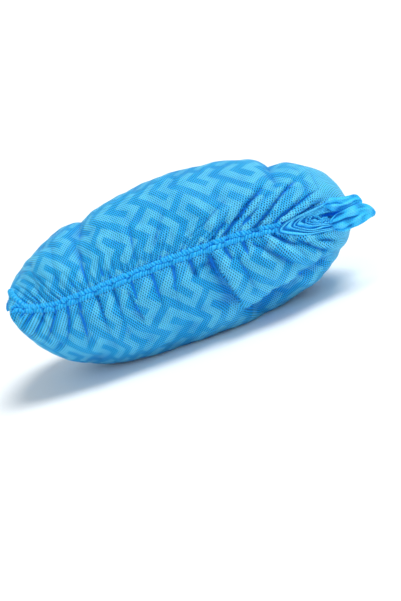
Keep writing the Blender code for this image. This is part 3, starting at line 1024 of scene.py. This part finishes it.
def bond_points(tree, along, across):
    """1 at the small pressed-in points that bond the fibres, on a slanting grid. They are drawn
    as coarse as they need to show."""
    turns = []
    for sign in (1.0, -1.0):
        way = add(tree, "MULTIPLY", across, sign * BOND_STRETCH[1])
        way = add(tree, "MULTIPLY_ADD", along, BOND_STRETCH[0], way)
        angle = add(tree, "MULTIPLY", way, 2 * math.pi / (EMBOSS_PITCH * math.sqrt(2)))
        turns.append(add(tree, "COSINE", angle))
    height = add(tree, "ADD", *turns)
    return add(tree, "ShaderNodeMapRange", height, *BOND_RANGE, 0.0, 1.0, interpolation_type="SMOOTHSTEP")


def with_painted_fold_shade(tree, colour, shares):
    """A colour with a painted shade in the valleys of the folds and a painted highlight on their
    crests, by how far each place stands in or out of the sheet round it."""
    height = add(tree, "ShaderNodeAttribute", attribute_name="fold_shade_and_highlight").node.outputs["Fac"]
    for span, shade_and_highlight in (((-1.0, 0.0, shares[0], 0.0), PAINTED_VALLEY_SHADE_BLUE),
                       ((0.0, 1.0, 0.0, shares[1]), PAINTED_CREST_HIGHLIGHT_BLUE)):
        share = add(tree, "ShaderNodeMapRange", height, *span)
        colour = add(tree, "ShaderNodeMix", share, *NO_NUMBERS, colour, linear(shade_and_highlight), data_type="RGBA")
        colour = colour.node.outputs[2]
    return colour


def dyed(tree, surface, colour, dim, place, cloudiness):
    """Gives a surface its colour, dimmed by a pattern and by a cloudy unevenness."""
    scale, detail, roughness, swing, least = cloudiness
    cloud = add(tree, "ShaderNodeTexNoise", place, None, scale, detail, roughness)
    dim = add(tree, "MULTIPLY", dim, add(tree, "MULTIPLY_ADD", cloud, swing, least))
    tint = add(tree, "ShaderNodeVectorMath", colour, None, None, dim, operation="SCALE")
    tree.links.new(tint, surface.inputs["Base Color"])


def printed_spunbond():
    """Spun-bonded polypropylene, printed. The eye gets the paler tread bars with soft edges, the
    fine grid of bond points and a cloudy unevenness where the fibres lie thicker."""
    made, tree, surface = new_material("printed_spunbond", FIBRE)
    place = add(tree, "ShaderNodeAttribute", attribute_name="cut_place").node.outputs["Vector"]
    along, across, ungathered = add(tree, "ShaderNodeSeparateXYZ", place).node.outputs
    outside = tread_bars(tree, along, across)
    bars = add(tree, "ShaderNodeMapRange", outside, TREAD_EDGE, -TREAD_EDGE, 0.0, 1.0,
               interpolation_type="SMOOTHSTEP")
    worn = add(tree, "ShaderNodeTexNoise", place, None, *WORN_NOISE)
    bars = add(tree, "MULTIPLY", bars, add(tree, "ShaderNodeMapRange", worn, *WORN_RANGE))
    bars = add(tree, "MAXIMUM", bars, add(tree, "ShaderNodeMapRange", along, *HEEL_PALING))
    tint = add(tree, "ShaderNodeMix", bars, *NO_NUMBERS, linear(SHEET_BLUE), linear(PRINT_BLUE),
               data_type="RGBA").node.outputs[2]
    dots = bond_points(tree, ungathered, across)
    depth = add(tree, "MULTIPLY_ADD", bars, -PRINT_HIDES, BOND_DEPTH)
    marks = add(tree, "MULTIPLY", add(tree, "SUBTRACT", dots, BOND_MEAN), depth)
    dim = add(tree, "MAXIMUM", add(tree, "SUBTRACT", 1.0, marks), BOND_DARKEST)
    dyed(tree, surface, with_painted_fold_shade(tree, tint, PRINTED_PAINTED_SHADE_SHARES), dim, place, PRINTED_CLOUD)
    bump = add(tree, "ShaderNodeBump", BOND_BUMP, invert=True,
               sockets={"Distance": BOND_HEIGHT, "Height": dots})
    tree.links.new(bump, surface.inputs["Normal"])
    return made


def plain_spunbond(name, colour, shares=GATHERED_PAINTED_SHADE_SHARES, painted_glow=0.0):
    """Unprinted spun-bonded polypropylene, as at the hems and welds: flat blue with its bond
    points and a little cloud, and where one is given, a painted blue glow."""
    made, tree, surface = new_material(name, FIBRE)
    # A painted glow, off unless a strength is given
    surface.inputs["Emission Color"].default_value = linear(HOLLOW_SHADE_AND_GLOW_BLUE)
    surface.inputs["Emission Strength"].default_value = painted_glow
    place = add(tree, "ShaderNodeTexCoord").node.outputs["Object"]
    place = add(tree, "ShaderNodeVectorMath", place, None, None, 1 / MM, operation="SCALE")
    split = add(tree, "ShaderNodeSeparateXYZ", place).node.outputs
    dots = bond_points(tree, split[0], split[2])
    dim = add(tree, "MULTIPLY_ADD", dots, -PLAIN_BOND_DEPTH, PLAIN_BRIGHTNESS)
    dyed(tree, surface, with_painted_fold_shade(tree, linear(colour), shares), dim, place, PLAIN_CLOUD)
    return made


def studio_paper():
    """Matt white background paper, with a trace of unevenness."""
    made, tree, surface = new_material("studio_paper", PAPER)
    place = add(tree, "ShaderNodeTexCoord").node.outputs["Object"]
    dyed(tree, surface, linear(FLOOR_WHITE)[:3], 1.0, place, PAPER_CLOUD)
    return made


def hem_tree():
    """Geometry Nodes that run a gathered hem along a path: a tube of oval sections, drawn into
    slanting puckers by the elastic inside it, pressed flat where the other hem meets it, and
    closed at both ends. The puckers are drawn as coarse as they need to show."""
    tree = bpy.data.node_groups.new("gathered_hem", "GeometryNodeTree")
    face = tree.interface
    for name, kind in HEM_SOCKETS:
        face.new_socket(name, in_out="INPUT", socket_type="NodeSocket" + kind)
    face.new_socket("Hem", in_out="OUTPUT", socket_type="NodeSocketGeometry")
    given = tree.nodes.new("NodeGroupInput").outputs
    sides = given["Sides"]
    index = add(tree, "GeometryNodeInputIndex")
    ring = add(tree, "FLOOR", add(tree, "DIVIDE", add(tree, "ADD", index, 0.5), sides))
    side = add(tree, "SUBTRACT", index, add(tree, "MULTIPLY", ring, sides))
    angle = add(tree, "DIVIDE", side, add(tree, "SUBTRACT", sides, 1.0))
    angle = add(tree, "MULTIPLY", angle, 2 * math.pi)
    sources = [add(tree, "GeometryNodeInputPosition")]
    sources += [add(tree, "GeometryNodeInputNamedAttribute", name, data_type="FLOAT_VECTOR")
                for name in ("across", "out", "walked")]
    middle, across, out, walked = (
        add(tree, "GeometryNodeSampleIndex", given["Path"], source, data_type="FLOAT_VECTOR",
            sockets={"Index": ring})
        for source in sources
    )
    length, size, _ = add(tree, "ShaderNodeSeparateXYZ", walked).node.outputs
    cosine, sine = add(tree, "COSINE", angle), add(tree, "SINE", angle)
    chance = add(tree, "ShaderNodeTexNoise", None, None, *HEM_NOISE, noise_dimensions="1D",
                 sockets={"W": length})
    phase = add(tree, "DIVIDE", length, given["Pucker pitch"])
    swing_phase = add(tree, "MULTIPLY_ADD", chance, HEM_UNEVENNESS, phase)
    phase = add(tree, "ADD", swing_phase, given["Chance"])
    phase = add(tree, "MULTIPLY_ADD", cosine, HEM_PUCKER_SLANT, phase)
    rib = add(tree, "ABSOLUTE", add(tree, "SINE", add(tree, "MULTIPLY", phase, math.pi)))
    rib = add(tree, "POWER", rib, HEM_PUCKER_SHARPNESS)
    swell = add(tree, "SUBTRACT", rib, HEM_PUCKER_MEAN)
    swell = add(tree, "MULTIPLY_ADD", swell, given["Pucker depth"], 1.0)
    swell = add(tree, "MULTIPLY", swell, size)
    pressed = add(tree, "MINIMUM", swell, HEM_PRESSED)
    spare = add(tree, "SUBTRACT", swell, pressed)
    width_swell = add(tree, "MULTIPLY_ADD", spare, add(tree, "GREATER_THAN", cosine, 0.0), pressed)
    swing = add(tree, "SINE", add(tree, "MULTIPLY", swing_phase, math.pi))
    swing = add(tree, "MULTIPLY", add(tree, "MULTIPLY", swing, given["Sway"]), size)
    moves = [(across, swing)]
    for way, share, reach, swelling in ((across, cosine, given["Height"], width_swell),
                                        (out, sine, given["Depth"], swell)):
        half = add(tree, "MULTIPLY", add(tree, "MULTIPLY", share, reach), 0.5)
        moves.append((way, add(tree, "MULTIPLY", half, swelling)))
    place = middle
    for way, amount in moves:
        moved = add(tree, "ShaderNodeVectorMath", way, None, None, amount, operation="SCALE")
        place = add(tree, "ShaderNodeVectorMath", place, moved, operation="ADD")
    # Painted shade in the valleys between the puckers and a painted highlight on their ribs
    shade_and_highlight = add(tree, "MULTIPLY", add(tree, "SUBTRACT", rib, HEM_PAINTED_SHADE[0]), HEM_PAINTED_SHADE[1])
    grid = add(tree, "GeometryNodeMeshGrid", 1.0, 1.0, given["Rings"], sides)
    kept = add(tree, "GeometryNodeStoreNamedAttribute", grid, data_type="FLOAT",
               sockets={"Name": "fold_shade_and_highlight", "Value": shade_and_highlight})
    placed = add(tree, "GeometryNodeSetPosition", kept, None, place)
    closed = add(tree, "GeometryNodeMergeByDistance", placed, sockets={"Distance": JOINED_WITHIN})
    whole = add(tree, "GeometryNodeRealizeInstances", closed)
    finished = add(tree, "GeometryNodeSetMaterial", whole, sockets={"Material": given["Material"]})
    tree.links.new(finished, tree.nodes.new("NodeGroupOutput").inputs[0])
    return tree


def run_tree(name, path, tree, settings):
    """The finished mesh that a node tree makes of a path."""
    modifier = path.modifiers.new(tree.name, "NODES")
    modifier.node_group = tree
    sockets = {item.name: item.identifier for item in tree.interface.items_tree
               if item.item_type == "SOCKET" and item.in_out == "INPUT"}
    for label, value in settings.items():
        modifier[sockets[label]] = value
    bpy.context.view_layer.update()
    shown = path.evaluated_get(bpy.context.evaluated_depsgraph_get())
    mesh = bpy.data.meshes.new_from_object(shown)
    mesh.name = name
    made = linked(name, mesh)
    bpy.data.objects.remove(path)
    mesh.shade_smooth()
    face_outwards(made)
    return made


def hem_piece(name, grids, form, upper, tree, material):
    """One gathered hem along its lip, with a ring for every place on its middle line. The two
    hems sway together, so that they stay close."""
    points, smooth, distance = grids
    lip, next_row = (0, 1) if upper else (-1, -2)
    across = unit(smooth[:, next_row] - smooth[:, lip])
    out = unit(np.cross(np.gradient(smooth[:, lip], axis=0), across))
    out = out * np.where(out[:, 1:2] > 0, -1, 1)
    inwards = np.abs(distance[:, lip][:, None]) - slit_gap(form.along) / 2 - HEM_HEIGHT / 2
    middle = points[:, lip] - across * inwards + out * HEM_PROUD
    kept = (form.along[:, 0] > HEM_FIRST_ALONG) & (form.along[:, 0] < HEM_LAST_ALONG)
    fine, rows = np.linspace(0, kept.sum() - 1, HEM_RINGS), np.arange(kept.sum())
    middle, across, out = (
        np.stack([np.interp(fine, rows, part[kept][:, k]) for k in range(3)], axis=-1)
        for part in (middle, across, out)
    )
    share = fine / fine[-1]
    size = smooth_step(share / HEM_END_SHARE) * smooth_step((1 - share) / HEM_END_SHARE)
    size = np.sqrt(size) * (1 + wander_line(share, HEM_BUNCHES, HEM_BUNCHING))
    size = size * (1 - HEM_TOE_NARROWING * (1 - smooth_step(share / HEM_TOE_SHARE)))
    path = mesh_from(name + "_path", middle, [], [(i, i + 1) for i in range(HEM_RINGS - 1)])
    store(path, "across", unit(across))
    store(path, "out", unit(out))
    store(path, "walked", np.stack([middle[:, 0] - HEM_FIRST_ALONG, size, 0 * size], axis=-1))
    return run_tree(name, path, tree, {
        "Rings": HEM_RINGS, "Sides": HEM_SIDES, "Height": HEM_HEIGHT, "Depth": HEM_DEPTH,
        "Pucker pitch": HEM_PUCKER_PITCH, "Pucker depth": HEM_PUCKER_DEPTH,
        "Sway": HEM_SWAY if upper else -HEM_SWAY, "Chance": 0.0 if upper else 0.5,
        "Material": material,
    })


def leaf(name, rows, folds_of_leaf, material):
    """A loose end of a hem: two plies of sheet that lie on each other, pinched into lengthwise
    folds. Each row of the list is one section across it."""
    sections, walked = even_curve(np.array(rows) * MM, LEAF_RINGS)
    share = walked / walked[-1]
    closing = np.sqrt(np.clip(1 - ((share - LEAF_TIP) / (1 - LEAF_TIP)).clip(0) ** 2, 0, 1))
    closing = (closing * np.sqrt(smooth_step(share / LEAF_ROOT)))[:, None]
    along, beside, up, height, thickness = (column[:, None] for column in sections.T)
    height, thickness = np.maximum(height * closing, 0), np.maximum(thickness * closing, 0)
    turns = np.linspace(0, 2 * math.pi, LEAF_SIDES, endpoint=False)
    level, out_share = np.cos(turns)[None, :], np.sin(turns)[None, :]
    out_share = np.sign(out_share) * np.abs(out_share) ** LEAF_FLATNESS
    bend = 0 * level + 0 * closing
    for start, slope, depth, width, first, last in folds_of_leaf:
        swing = LEAF_SWING * wander_line(share, LEAF_SWING_PITCH, 1.0)
        runs = smooth_step((share - first) / LEAF_FADE_IN) * smooth_step((last - share) / LEAF_FADE_OUT)
        gap = level - (start + slope * share + swing)[:, None]
        bend = bend + depth * MM * np.exp(-((gap / width) ** 2)) * runs[:, None]
    bend = (bend + crumple(along, up + height / 2 * level, *EAR_CRUMPLE)) * closing
    uneven = [wander_line(share, pitch, LEAF_UNEVEN)[:, None] for pitch in LEAF_UNEVEN_PITCHES]
    z = up + height / 2 * level * (1 + np.where(level > 0, *uneven))
    points = np.stack([along + 0 * level, beside - thickness / 2 * out_share + bend, z], axis=-1)
    made = mesh_from(name, points, tube_faces(LEAF_RINGS, LEAF_SIDES))
    # Painted shade in the ears' folds and a painted highlight where they stand out
    store(made, "fold_shade_and_highlight", np.clip(-bend / EAR_PAINTED_SHADE_DEPTH, -1, 1))
    made.data.materials.append(material)
    face_outwards(made, range(LEAF_RINGS * LEAF_SIDES))
    return made


class Skin:
    """The smooth form beside the slit, to lay other pieces on."""

    def __init__(self, form):
        self.aside = np.linspace(-SKIN_REACH, SKIN_REACH, SKIN_ROWS)
        self.along = form.along[:, 0]
        spread = np.broadcast_to(self.aside, (COLUMNS, len(self.aside)))
        places = form.at(spread)
        drawn_in = pinch(form.along + 0 * spread, np.abs(spread - slit_raise(form.along)))
        self.places = places + grid_normals(places) * drawn_in[..., None]
        self.normals = grid_normals(self.places)

    def lay(self, flat, lift):
        """A grid of places along X and above the slit, lifted off the form by some heights."""
        column = np.interp(flat[..., 0], self.along, np.arange(COLUMNS))
        row = np.interp(flat[..., 1], self.aside, np.arange(len(self.aside)))
        i = np.minimum(column.astype(int), COLUMNS - 2)
        j = np.minimum(row.astype(int), len(self.aside) - 2)
        u, v = (column - i)[..., None], (row - j)[..., None]
        found = []
        for grid in (self.places, self.normals):
            near = grid[i, j] * (1 - v) + grid[i, j + 1] * v
            far = grid[i + 1, j] * (1 - v) + grid[i + 1, j + 1] * v
            found.append(near * (1 - u) + far * u)
        return found[0] + unit(found[1]) * lift[..., None]


def beside_run(flat):
    """The way to the left of each line of a grid of flat places, along its first way."""
    run = unit(np.gradient(flat, axis=0))
    return np.stack([-run[..., 1], run[..., 0]], axis=-1)


def slab(name, points, shade_and_highlight, material):
    """A closed piece of sheet whose outer side is a grid of points, with the painted shade and highlight
    of its folds.
    """
    columns, rows = points.shape[:2]
    count = columns * rows
    faces = grid_faces(columns, rows) + grid_faces(columns, rows, count, turned=True)
    edge = [i * rows for i in range(columns)]
    edge += [(columns - 1) * rows + j for j in range(1, rows)]
    edge += [i * rows + rows - 1 for i in range(columns - 2, -1, -1)]
    edge += list(range(rows - 2, 0, -1))
    faces += [(a, b, b + count, a + count) for a, b in zip(edge, edge[1:] + edge[:1])]
    inner = points - grid_normals(points) * MOUTH_THICKNESS
    made = mesh_from(name, np.stack([points, inner]), faces)
    face_outwards(made)
    made.data.materials.append(material)
    store(made, "fold_shade_and_highlight", np.concatenate([shade_and_highlight.ravel()] * 2))
    return made


def mouth_fan(skin, material):
    """The gathers of both hems, fanned out round the mouth as nested folds that lie deeper
    towards its middle."""
    outer, inner = (even_curve(np.array(rows) * MM, MOUTH_POINTS)[0]
                    for rows in (MOUTH_OUTER, MOUTH_INNER))
    share = np.linspace(0, 1, MOUTH_ROWS)[None, :]
    turn = np.linspace(0, 1, MOUTH_POINTS)[:, None]
    flat = outer[:, None] * (1 - share[..., None]) + inner[:, None] * share[..., None]
    spacing = np.linalg.norm(outer - inner, axis=1)[:, None] / MOUTH_RINGS
    drift = MOUTH_DRIFT * wander_line(turn[:, 0], MOUTH_DRIFT_PITCH, 1.0)[:, None]
    drift = drift * smooth_step(share / MOUTH_DRIFT_GROW_IN)
    phase = share * MOUTH_RINGS + drift
    inward_pace, round_pace = MOUTH_WAVER_PACES
    phase = phase + MOUTH_WAVER * np.sin(2 * math.pi * (share * inward_pace + turn * round_pace))
    ridge = np.cos(2 * math.pi * phase)
    ridge = np.sign(ridge) * np.abs(ridge) ** MOUTH_RIDGE_SHARPNESS
    height = np.minimum(MOUTH_RIDGE_SHARE * spacing, MOUTH_RIDGE_MOST)
    mean, swing, pace, turn_pace = MOUTH_VARIETY
    strength = mean + swing * np.sin(pace * phase + turn_pace * turn)
    lift = MOUTH_PROUD + height * ridge * strength - MOUTH_DISH * smooth_step(share)
    edges = smooth_step(share / MOUTH_EDGE) - smooth_step((share - 1 + MOUTH_EDGE) / MOUTH_EDGE)
    lift = lift - MOUTH_EDGE_DROP * (1 - edges)
    jag = np.sin(math.pi * (MOUTH_JAGS * turn + MOUTH_JAG_DRIFT * drift))
    jag = jag * smooth_step((share - MOUTH_JAG_FROM) / MOUTH_JAG_GROW_IN)
    flat = flat + beside_run(flat) * (MOUTH_JAG_ASIDE * jag)[..., None]
    points = skin.lay(flat, lift + MOUTH_JAG * jag)
    for _ in range(MOUTH_SMOOTHING):
        points[1:-1, 1:-1] = (points[1:-1, 1:-1] * 2 + points[:-2, 1:-1] + points[2:, 1:-1]) / 4
    # Painted shade in the fold valleys and a painted highlight on the ridges, with more painted shade
    # towards the mouth's middle
    deep = smooth_step((share - MOUTH_DEEP_FROM) / (1 - MOUTH_DEEP_FROM))
    shade_and_highlight = np.clip(MOUTH_PAINTED_SHADE * ridge - MOUTH_DEEP_PAINTED_SHADE * deep, -1, 1)
    return slab("mouth_fan", points, shade_and_highlight, material)


def toe_gathers(skin, material):
    """The upper hem's gathers, drawn up beside the toe weld into a band of short cross pleats."""
    path = even_curve(np.array(TOE_GATHERS) * MM, TOE_GATHER_POINTS)[0]
    turn = np.linspace(0, 1, TOE_GATHER_POINTS)[:, None]
    level = np.linspace(-1, 1, TOE_GATHER_ROWS)[None, :]
    half = TOE_GATHER_WIDTH / 2 * (1 - TOE_GATHER_NARROWING * turn)
    flat = path[:, None] + beside_run(path)[:, None] * (half * level)[..., None]
    chance = TOE_GATHER_CHANCE * wander_line(turn[:, 0], TOE_GATHER_CHANCE_PITCH, 1.0)[:, None]
    phase = TOE_GATHER_PLEATS * turn + TOE_GATHER_SLANT * level + chance
    rib = np.abs(np.sin(math.pi * phase)) ** TOE_GATHER_SHARPNESS
    lift = TOE_GATHER_PROUD * np.cos(level * TOE_GATHER_ARCH)
    lift = lift + TOE_GATHER_DEPTH * (rib - TOE_GATHER_MEAN)
    ends = smooth_step(turn / TOE_GATHER_END) * smooth_step((1 - turn) / TOE_GATHER_END)
    sides = smooth_step((1 - np.abs(level)) / TOE_GATHER_SIDE)
    lift = lift * ends - TOE_GATHER_DROP * (1 - ends * sides)
    # Painted shade between the pleats and a painted highlight on their ribs
    shade_and_highlight = np.clip(TOE_GATHER_PAINTED_SHADE[0] * rib + TOE_GATHER_PAINTED_SHADE[1], -1, TOE_GATHER_PAINTED_HIGHLIGHT_MOST)
    return slab("toe_gathers", skin.lay(flat, lift), shade_and_highlight, material)


def edge_strip(name, form, column, way, material):
    """The flat welded edge beyond one end: a crumpled strip with its welded line pressed in."""
    line = form.point(np.linspace(STRIP_TURN, math.pi - STRIP_TURN, STRIP_POINTS)[None, :])[column]
    away = unit(np.cross(unit(np.gradient(line, axis=0)), UPWARD)) * way
    share = np.linspace(0, 1, STRIP_POINTS)
    rounding = np.linspace(STRIP_ROUNDING, math.pi - STRIP_ROUNDING, STRIP_POINTS)
    width = STRIP_WIDTH * np.sqrt(np.sin(rounding))
    width = (width * (1 + wander_line(share, STRIP_UNEVEN_PITCH, STRIP_UNEVEN)))[:, None]
    share, across = share[:, None], np.linspace(0, 1, STRIP_ROWS)[None, :]
    long_wave, short_wave = (
        strength * np.sin(2 * math.pi * (share * count + slant * across))
        for strength, count, slant in (STRIP_LONG_WAVES, STRIP_SHORT_WAVES)
    )
    wave = STRIP_WAVE * (long_wave * across + short_wave) * smooth_step(across / STRIP_WAVE_GROW_IN)
    middle = line[:, None] + away[:, None] * (STRIP_GAP + across * width)[..., None]
    middle = middle + UPWARD * wave[..., None]
    dots = 0.5 + 0.5 * np.cos(2 * math.pi * share * STRIP_LENGTH_DOTS)
    weld = np.exp(-(((across - STRIP_WELD_PLACE) / STRIP_WELD_WIDTH) ** 2))
    pressed = STRIP_THICKNESS / 2 * (1 - STRIP_DOT_DEPTH * dots * weld)
    pressed = pressed * np.sqrt(np.clip(1 - (2 * share - 1) ** STRIP_END_SHARPNESS, STRIP_END_LEAST, 1))
    half = UPWARD * pressed[..., None]
    loop = np.concatenate([middle + half, (middle - half)[:, ::-1]], axis=1)
    sides = loop.shape[1]
    faces = tube_faces(STRIP_POINTS, sides)
    for end in (0, STRIP_POINTS - 1):
        for j in range(STRIP_ROWS - 1):
            first, last = end * sides + j, end * sides + sides - 1 - j
            faces.append((first, first + 1, last - 1, last))
    made = mesh_from(name, loop, faces)
    face_outwards(made)
    made.data.materials.append(material)
    return made


def studio():
    """A pale floor that sweeps up behind, as one sheet of background paper."""
    profile = [(-STUDIO_HALF, 0.0), (STUDIO_BACK, 0.0)]
    turns = np.linspace(0, math.pi / 2, 13)[1:]
    profile += [(STUDIO_BACK + STUDIO_BEND * math.sin(t), STUDIO_BEND * (1 - math.cos(t))) for t in turns]
    profile.append((STUDIO_BACK + STUDIO_BEND, STUDIO_TOP))
    points = np.array([(side * STUDIO_HALF, y, z) for y, z in profile for side in (-1, 1)])
    faces = [(2 * i, 2 * i + 1, 2 * i + 3, 2 * i + 2) for i in range(len(profile) - 1)]
    made = mesh_from("studio_sweep", points, faces)
    made.data.materials.append(studio_paper())


def lights():
    """A bright white studio: light from all round, a broad soft light high above, which rakes
    across the folds, and a weak one in front."""
    world = bpy.data.worlds.new("studio_light")
    bpy.context.scene.world = world
    world.use_nodes = True
    background = world.node_tree.nodes["Background"]
    background.inputs["Color"].default_value = linear(WORLD_TINT)
    background.inputs["Strength"].default_value = WORLD_STRENGTH
    for name, towards, angle, strength in SOFT_LIGHTS:
        lamp = bpy.data.lights.new(name, "SUN")
        lamp.angle = math.radians(angle)
        lamp.energy = strength
        held = linked(name, lamp)
        held.location = towards
        held.rotation_euler = Vector(towards).to_track_quat("Z", "Y").to_euler()


def camera():
    """The photograph's view: from in front, a little above, and turned about its own line."""
    data = bpy.data.cameras.new("camera")
    data.sensor_width = SENSOR_WIDTH
    data.lens = PHOTO_SCALE * CAMERA_DISTANCE / MM * SENSOR_WIDTH / PHOTO_SIZE[1]
    data.clip_start, data.clip_end = CAMERA_CLIP
    rise = math.radians(CAMERA_RISE)
    back = Vector((0.0, -math.cos(rise), math.sin(rise)))
    turn = back.to_track_quat("Z", "Y").to_matrix() @ Matrix.Rotation(math.radians(CAMERA_ROLL), 3, "Z")
    off_x, off_y = (PHOTO_SIZE[i] / 2 - TARGET_PIXEL[i] for i in (0, 1))
    aim = turn @ Vector((off_x / PHOTO_SCALE * MM, -off_y / PHOTO_SCALE * MM, -CAMERA_DISTANCE))
    first = turn @ Vector((0.0, 0.0, -1.0))
    turn = first.rotation_difference(aim).to_matrix() @ turn
    seen = linked("camera", data)
    place = Vector(CAMERA_TARGET) + back * CAMERA_DISTANCE
    seen.matrix_world = Matrix.Translation(place) @ turn.to_4x4()
    bpy.context.scene.camera = seen


def main():
    """Makes the cover, its studio and its view."""
    form = Form()
    distance, rise = sheet_distances(form)
    folded, smooth = folded_form(form, distance, rise)
    free = np.ones(distance.shape + (1,))
    free[[0, -1]] = 0.0
    free[:, [0, -1]] = 0.0
    points = settle(folded, smooth, distance, free)

    hem_sheet = plain_spunbond("gathered_spunbond", HEM_BLUE)
    # Single plies that stand up in folds: a paler colour and a painted blue glow stand in for the light
    # coming through them
    fanned_sheet = plain_spunbond("fanned_spunbond_painted_glow", FANNED_BLUE_WITH_PAINTED_LIGHT, FANNED_PAINTED_SHADE_SHARES, FANNED_PAINTED_GLOW)
    weld_sheet = plain_spunbond("welded_spunbond", WELD_BLUE)
    # The lining is painted a deeper blue for the shaded hollow, and a painted blue glow keeps it from
    # going black
    lining_sheet = plain_spunbond("lining_painted_shade_and_glow", HOLLOW_SHADE_AND_GLOW_BLUE, painted_glow=LINING_PAINTED_GLOW)

    places = cut_places(form, distance, rise)
    sheet = sheet_piece(points, smooth, places, (printed_spunbond(), lining_sheet))
    tree, grids = hem_tree(), (points, smooth, distance)
    upper_hem = hem_piece("upper_hem", grids, form, True, tree, hem_sheet)
    lower_hem = hem_piece("lower_hem", grids, form, False, tree, hem_sheet)
    skin = Skin(form)
    mouth = mouth_fan(skin, fanned_sheet)
    gathers = toe_gathers(skin, hem_sheet)
    upper_ear = leaf("upper_ear", UPPER_EAR, UPPER_EAR_FOLDS, fanned_sheet)
    lower_ear = leaf("lower_ear", LOWER_EAR, LOWER_EAR_FOLDS, fanned_sheet)
    toe_edge = edge_strip("toe_edge", form, 0, -1.0, weld_sheet)
    heel_edge = edge_strip("heel_edge", form, -1, 1.0, weld_sheet)
    pieces = (sheet, upper_hem, lower_hem, mouth, gathers, upper_ear, lower_ear, toe_edge, heel_edge)
    for piece in pieces:
        piece.data.transform(Matrix.Translation(Vector(FRAME_SHIFT) * MM))
        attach(piece, "root")
    for piece, node, slot in (
        (sheet, "body", "sheet"),
        (upper_hem, "hem_upper", "gathered_hem"),
        (lower_hem, "hem_lower", "gathered_hem"),
        (toe_edge, "toe_weld", "welded_edge"),
        (heel_edge, "heel_weld", "welded_edge"),
    ):
        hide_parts(node)
    studio()
    lights()
    camera()
    bpy.context.scene.view_settings.view_transform = "Standard"


main()
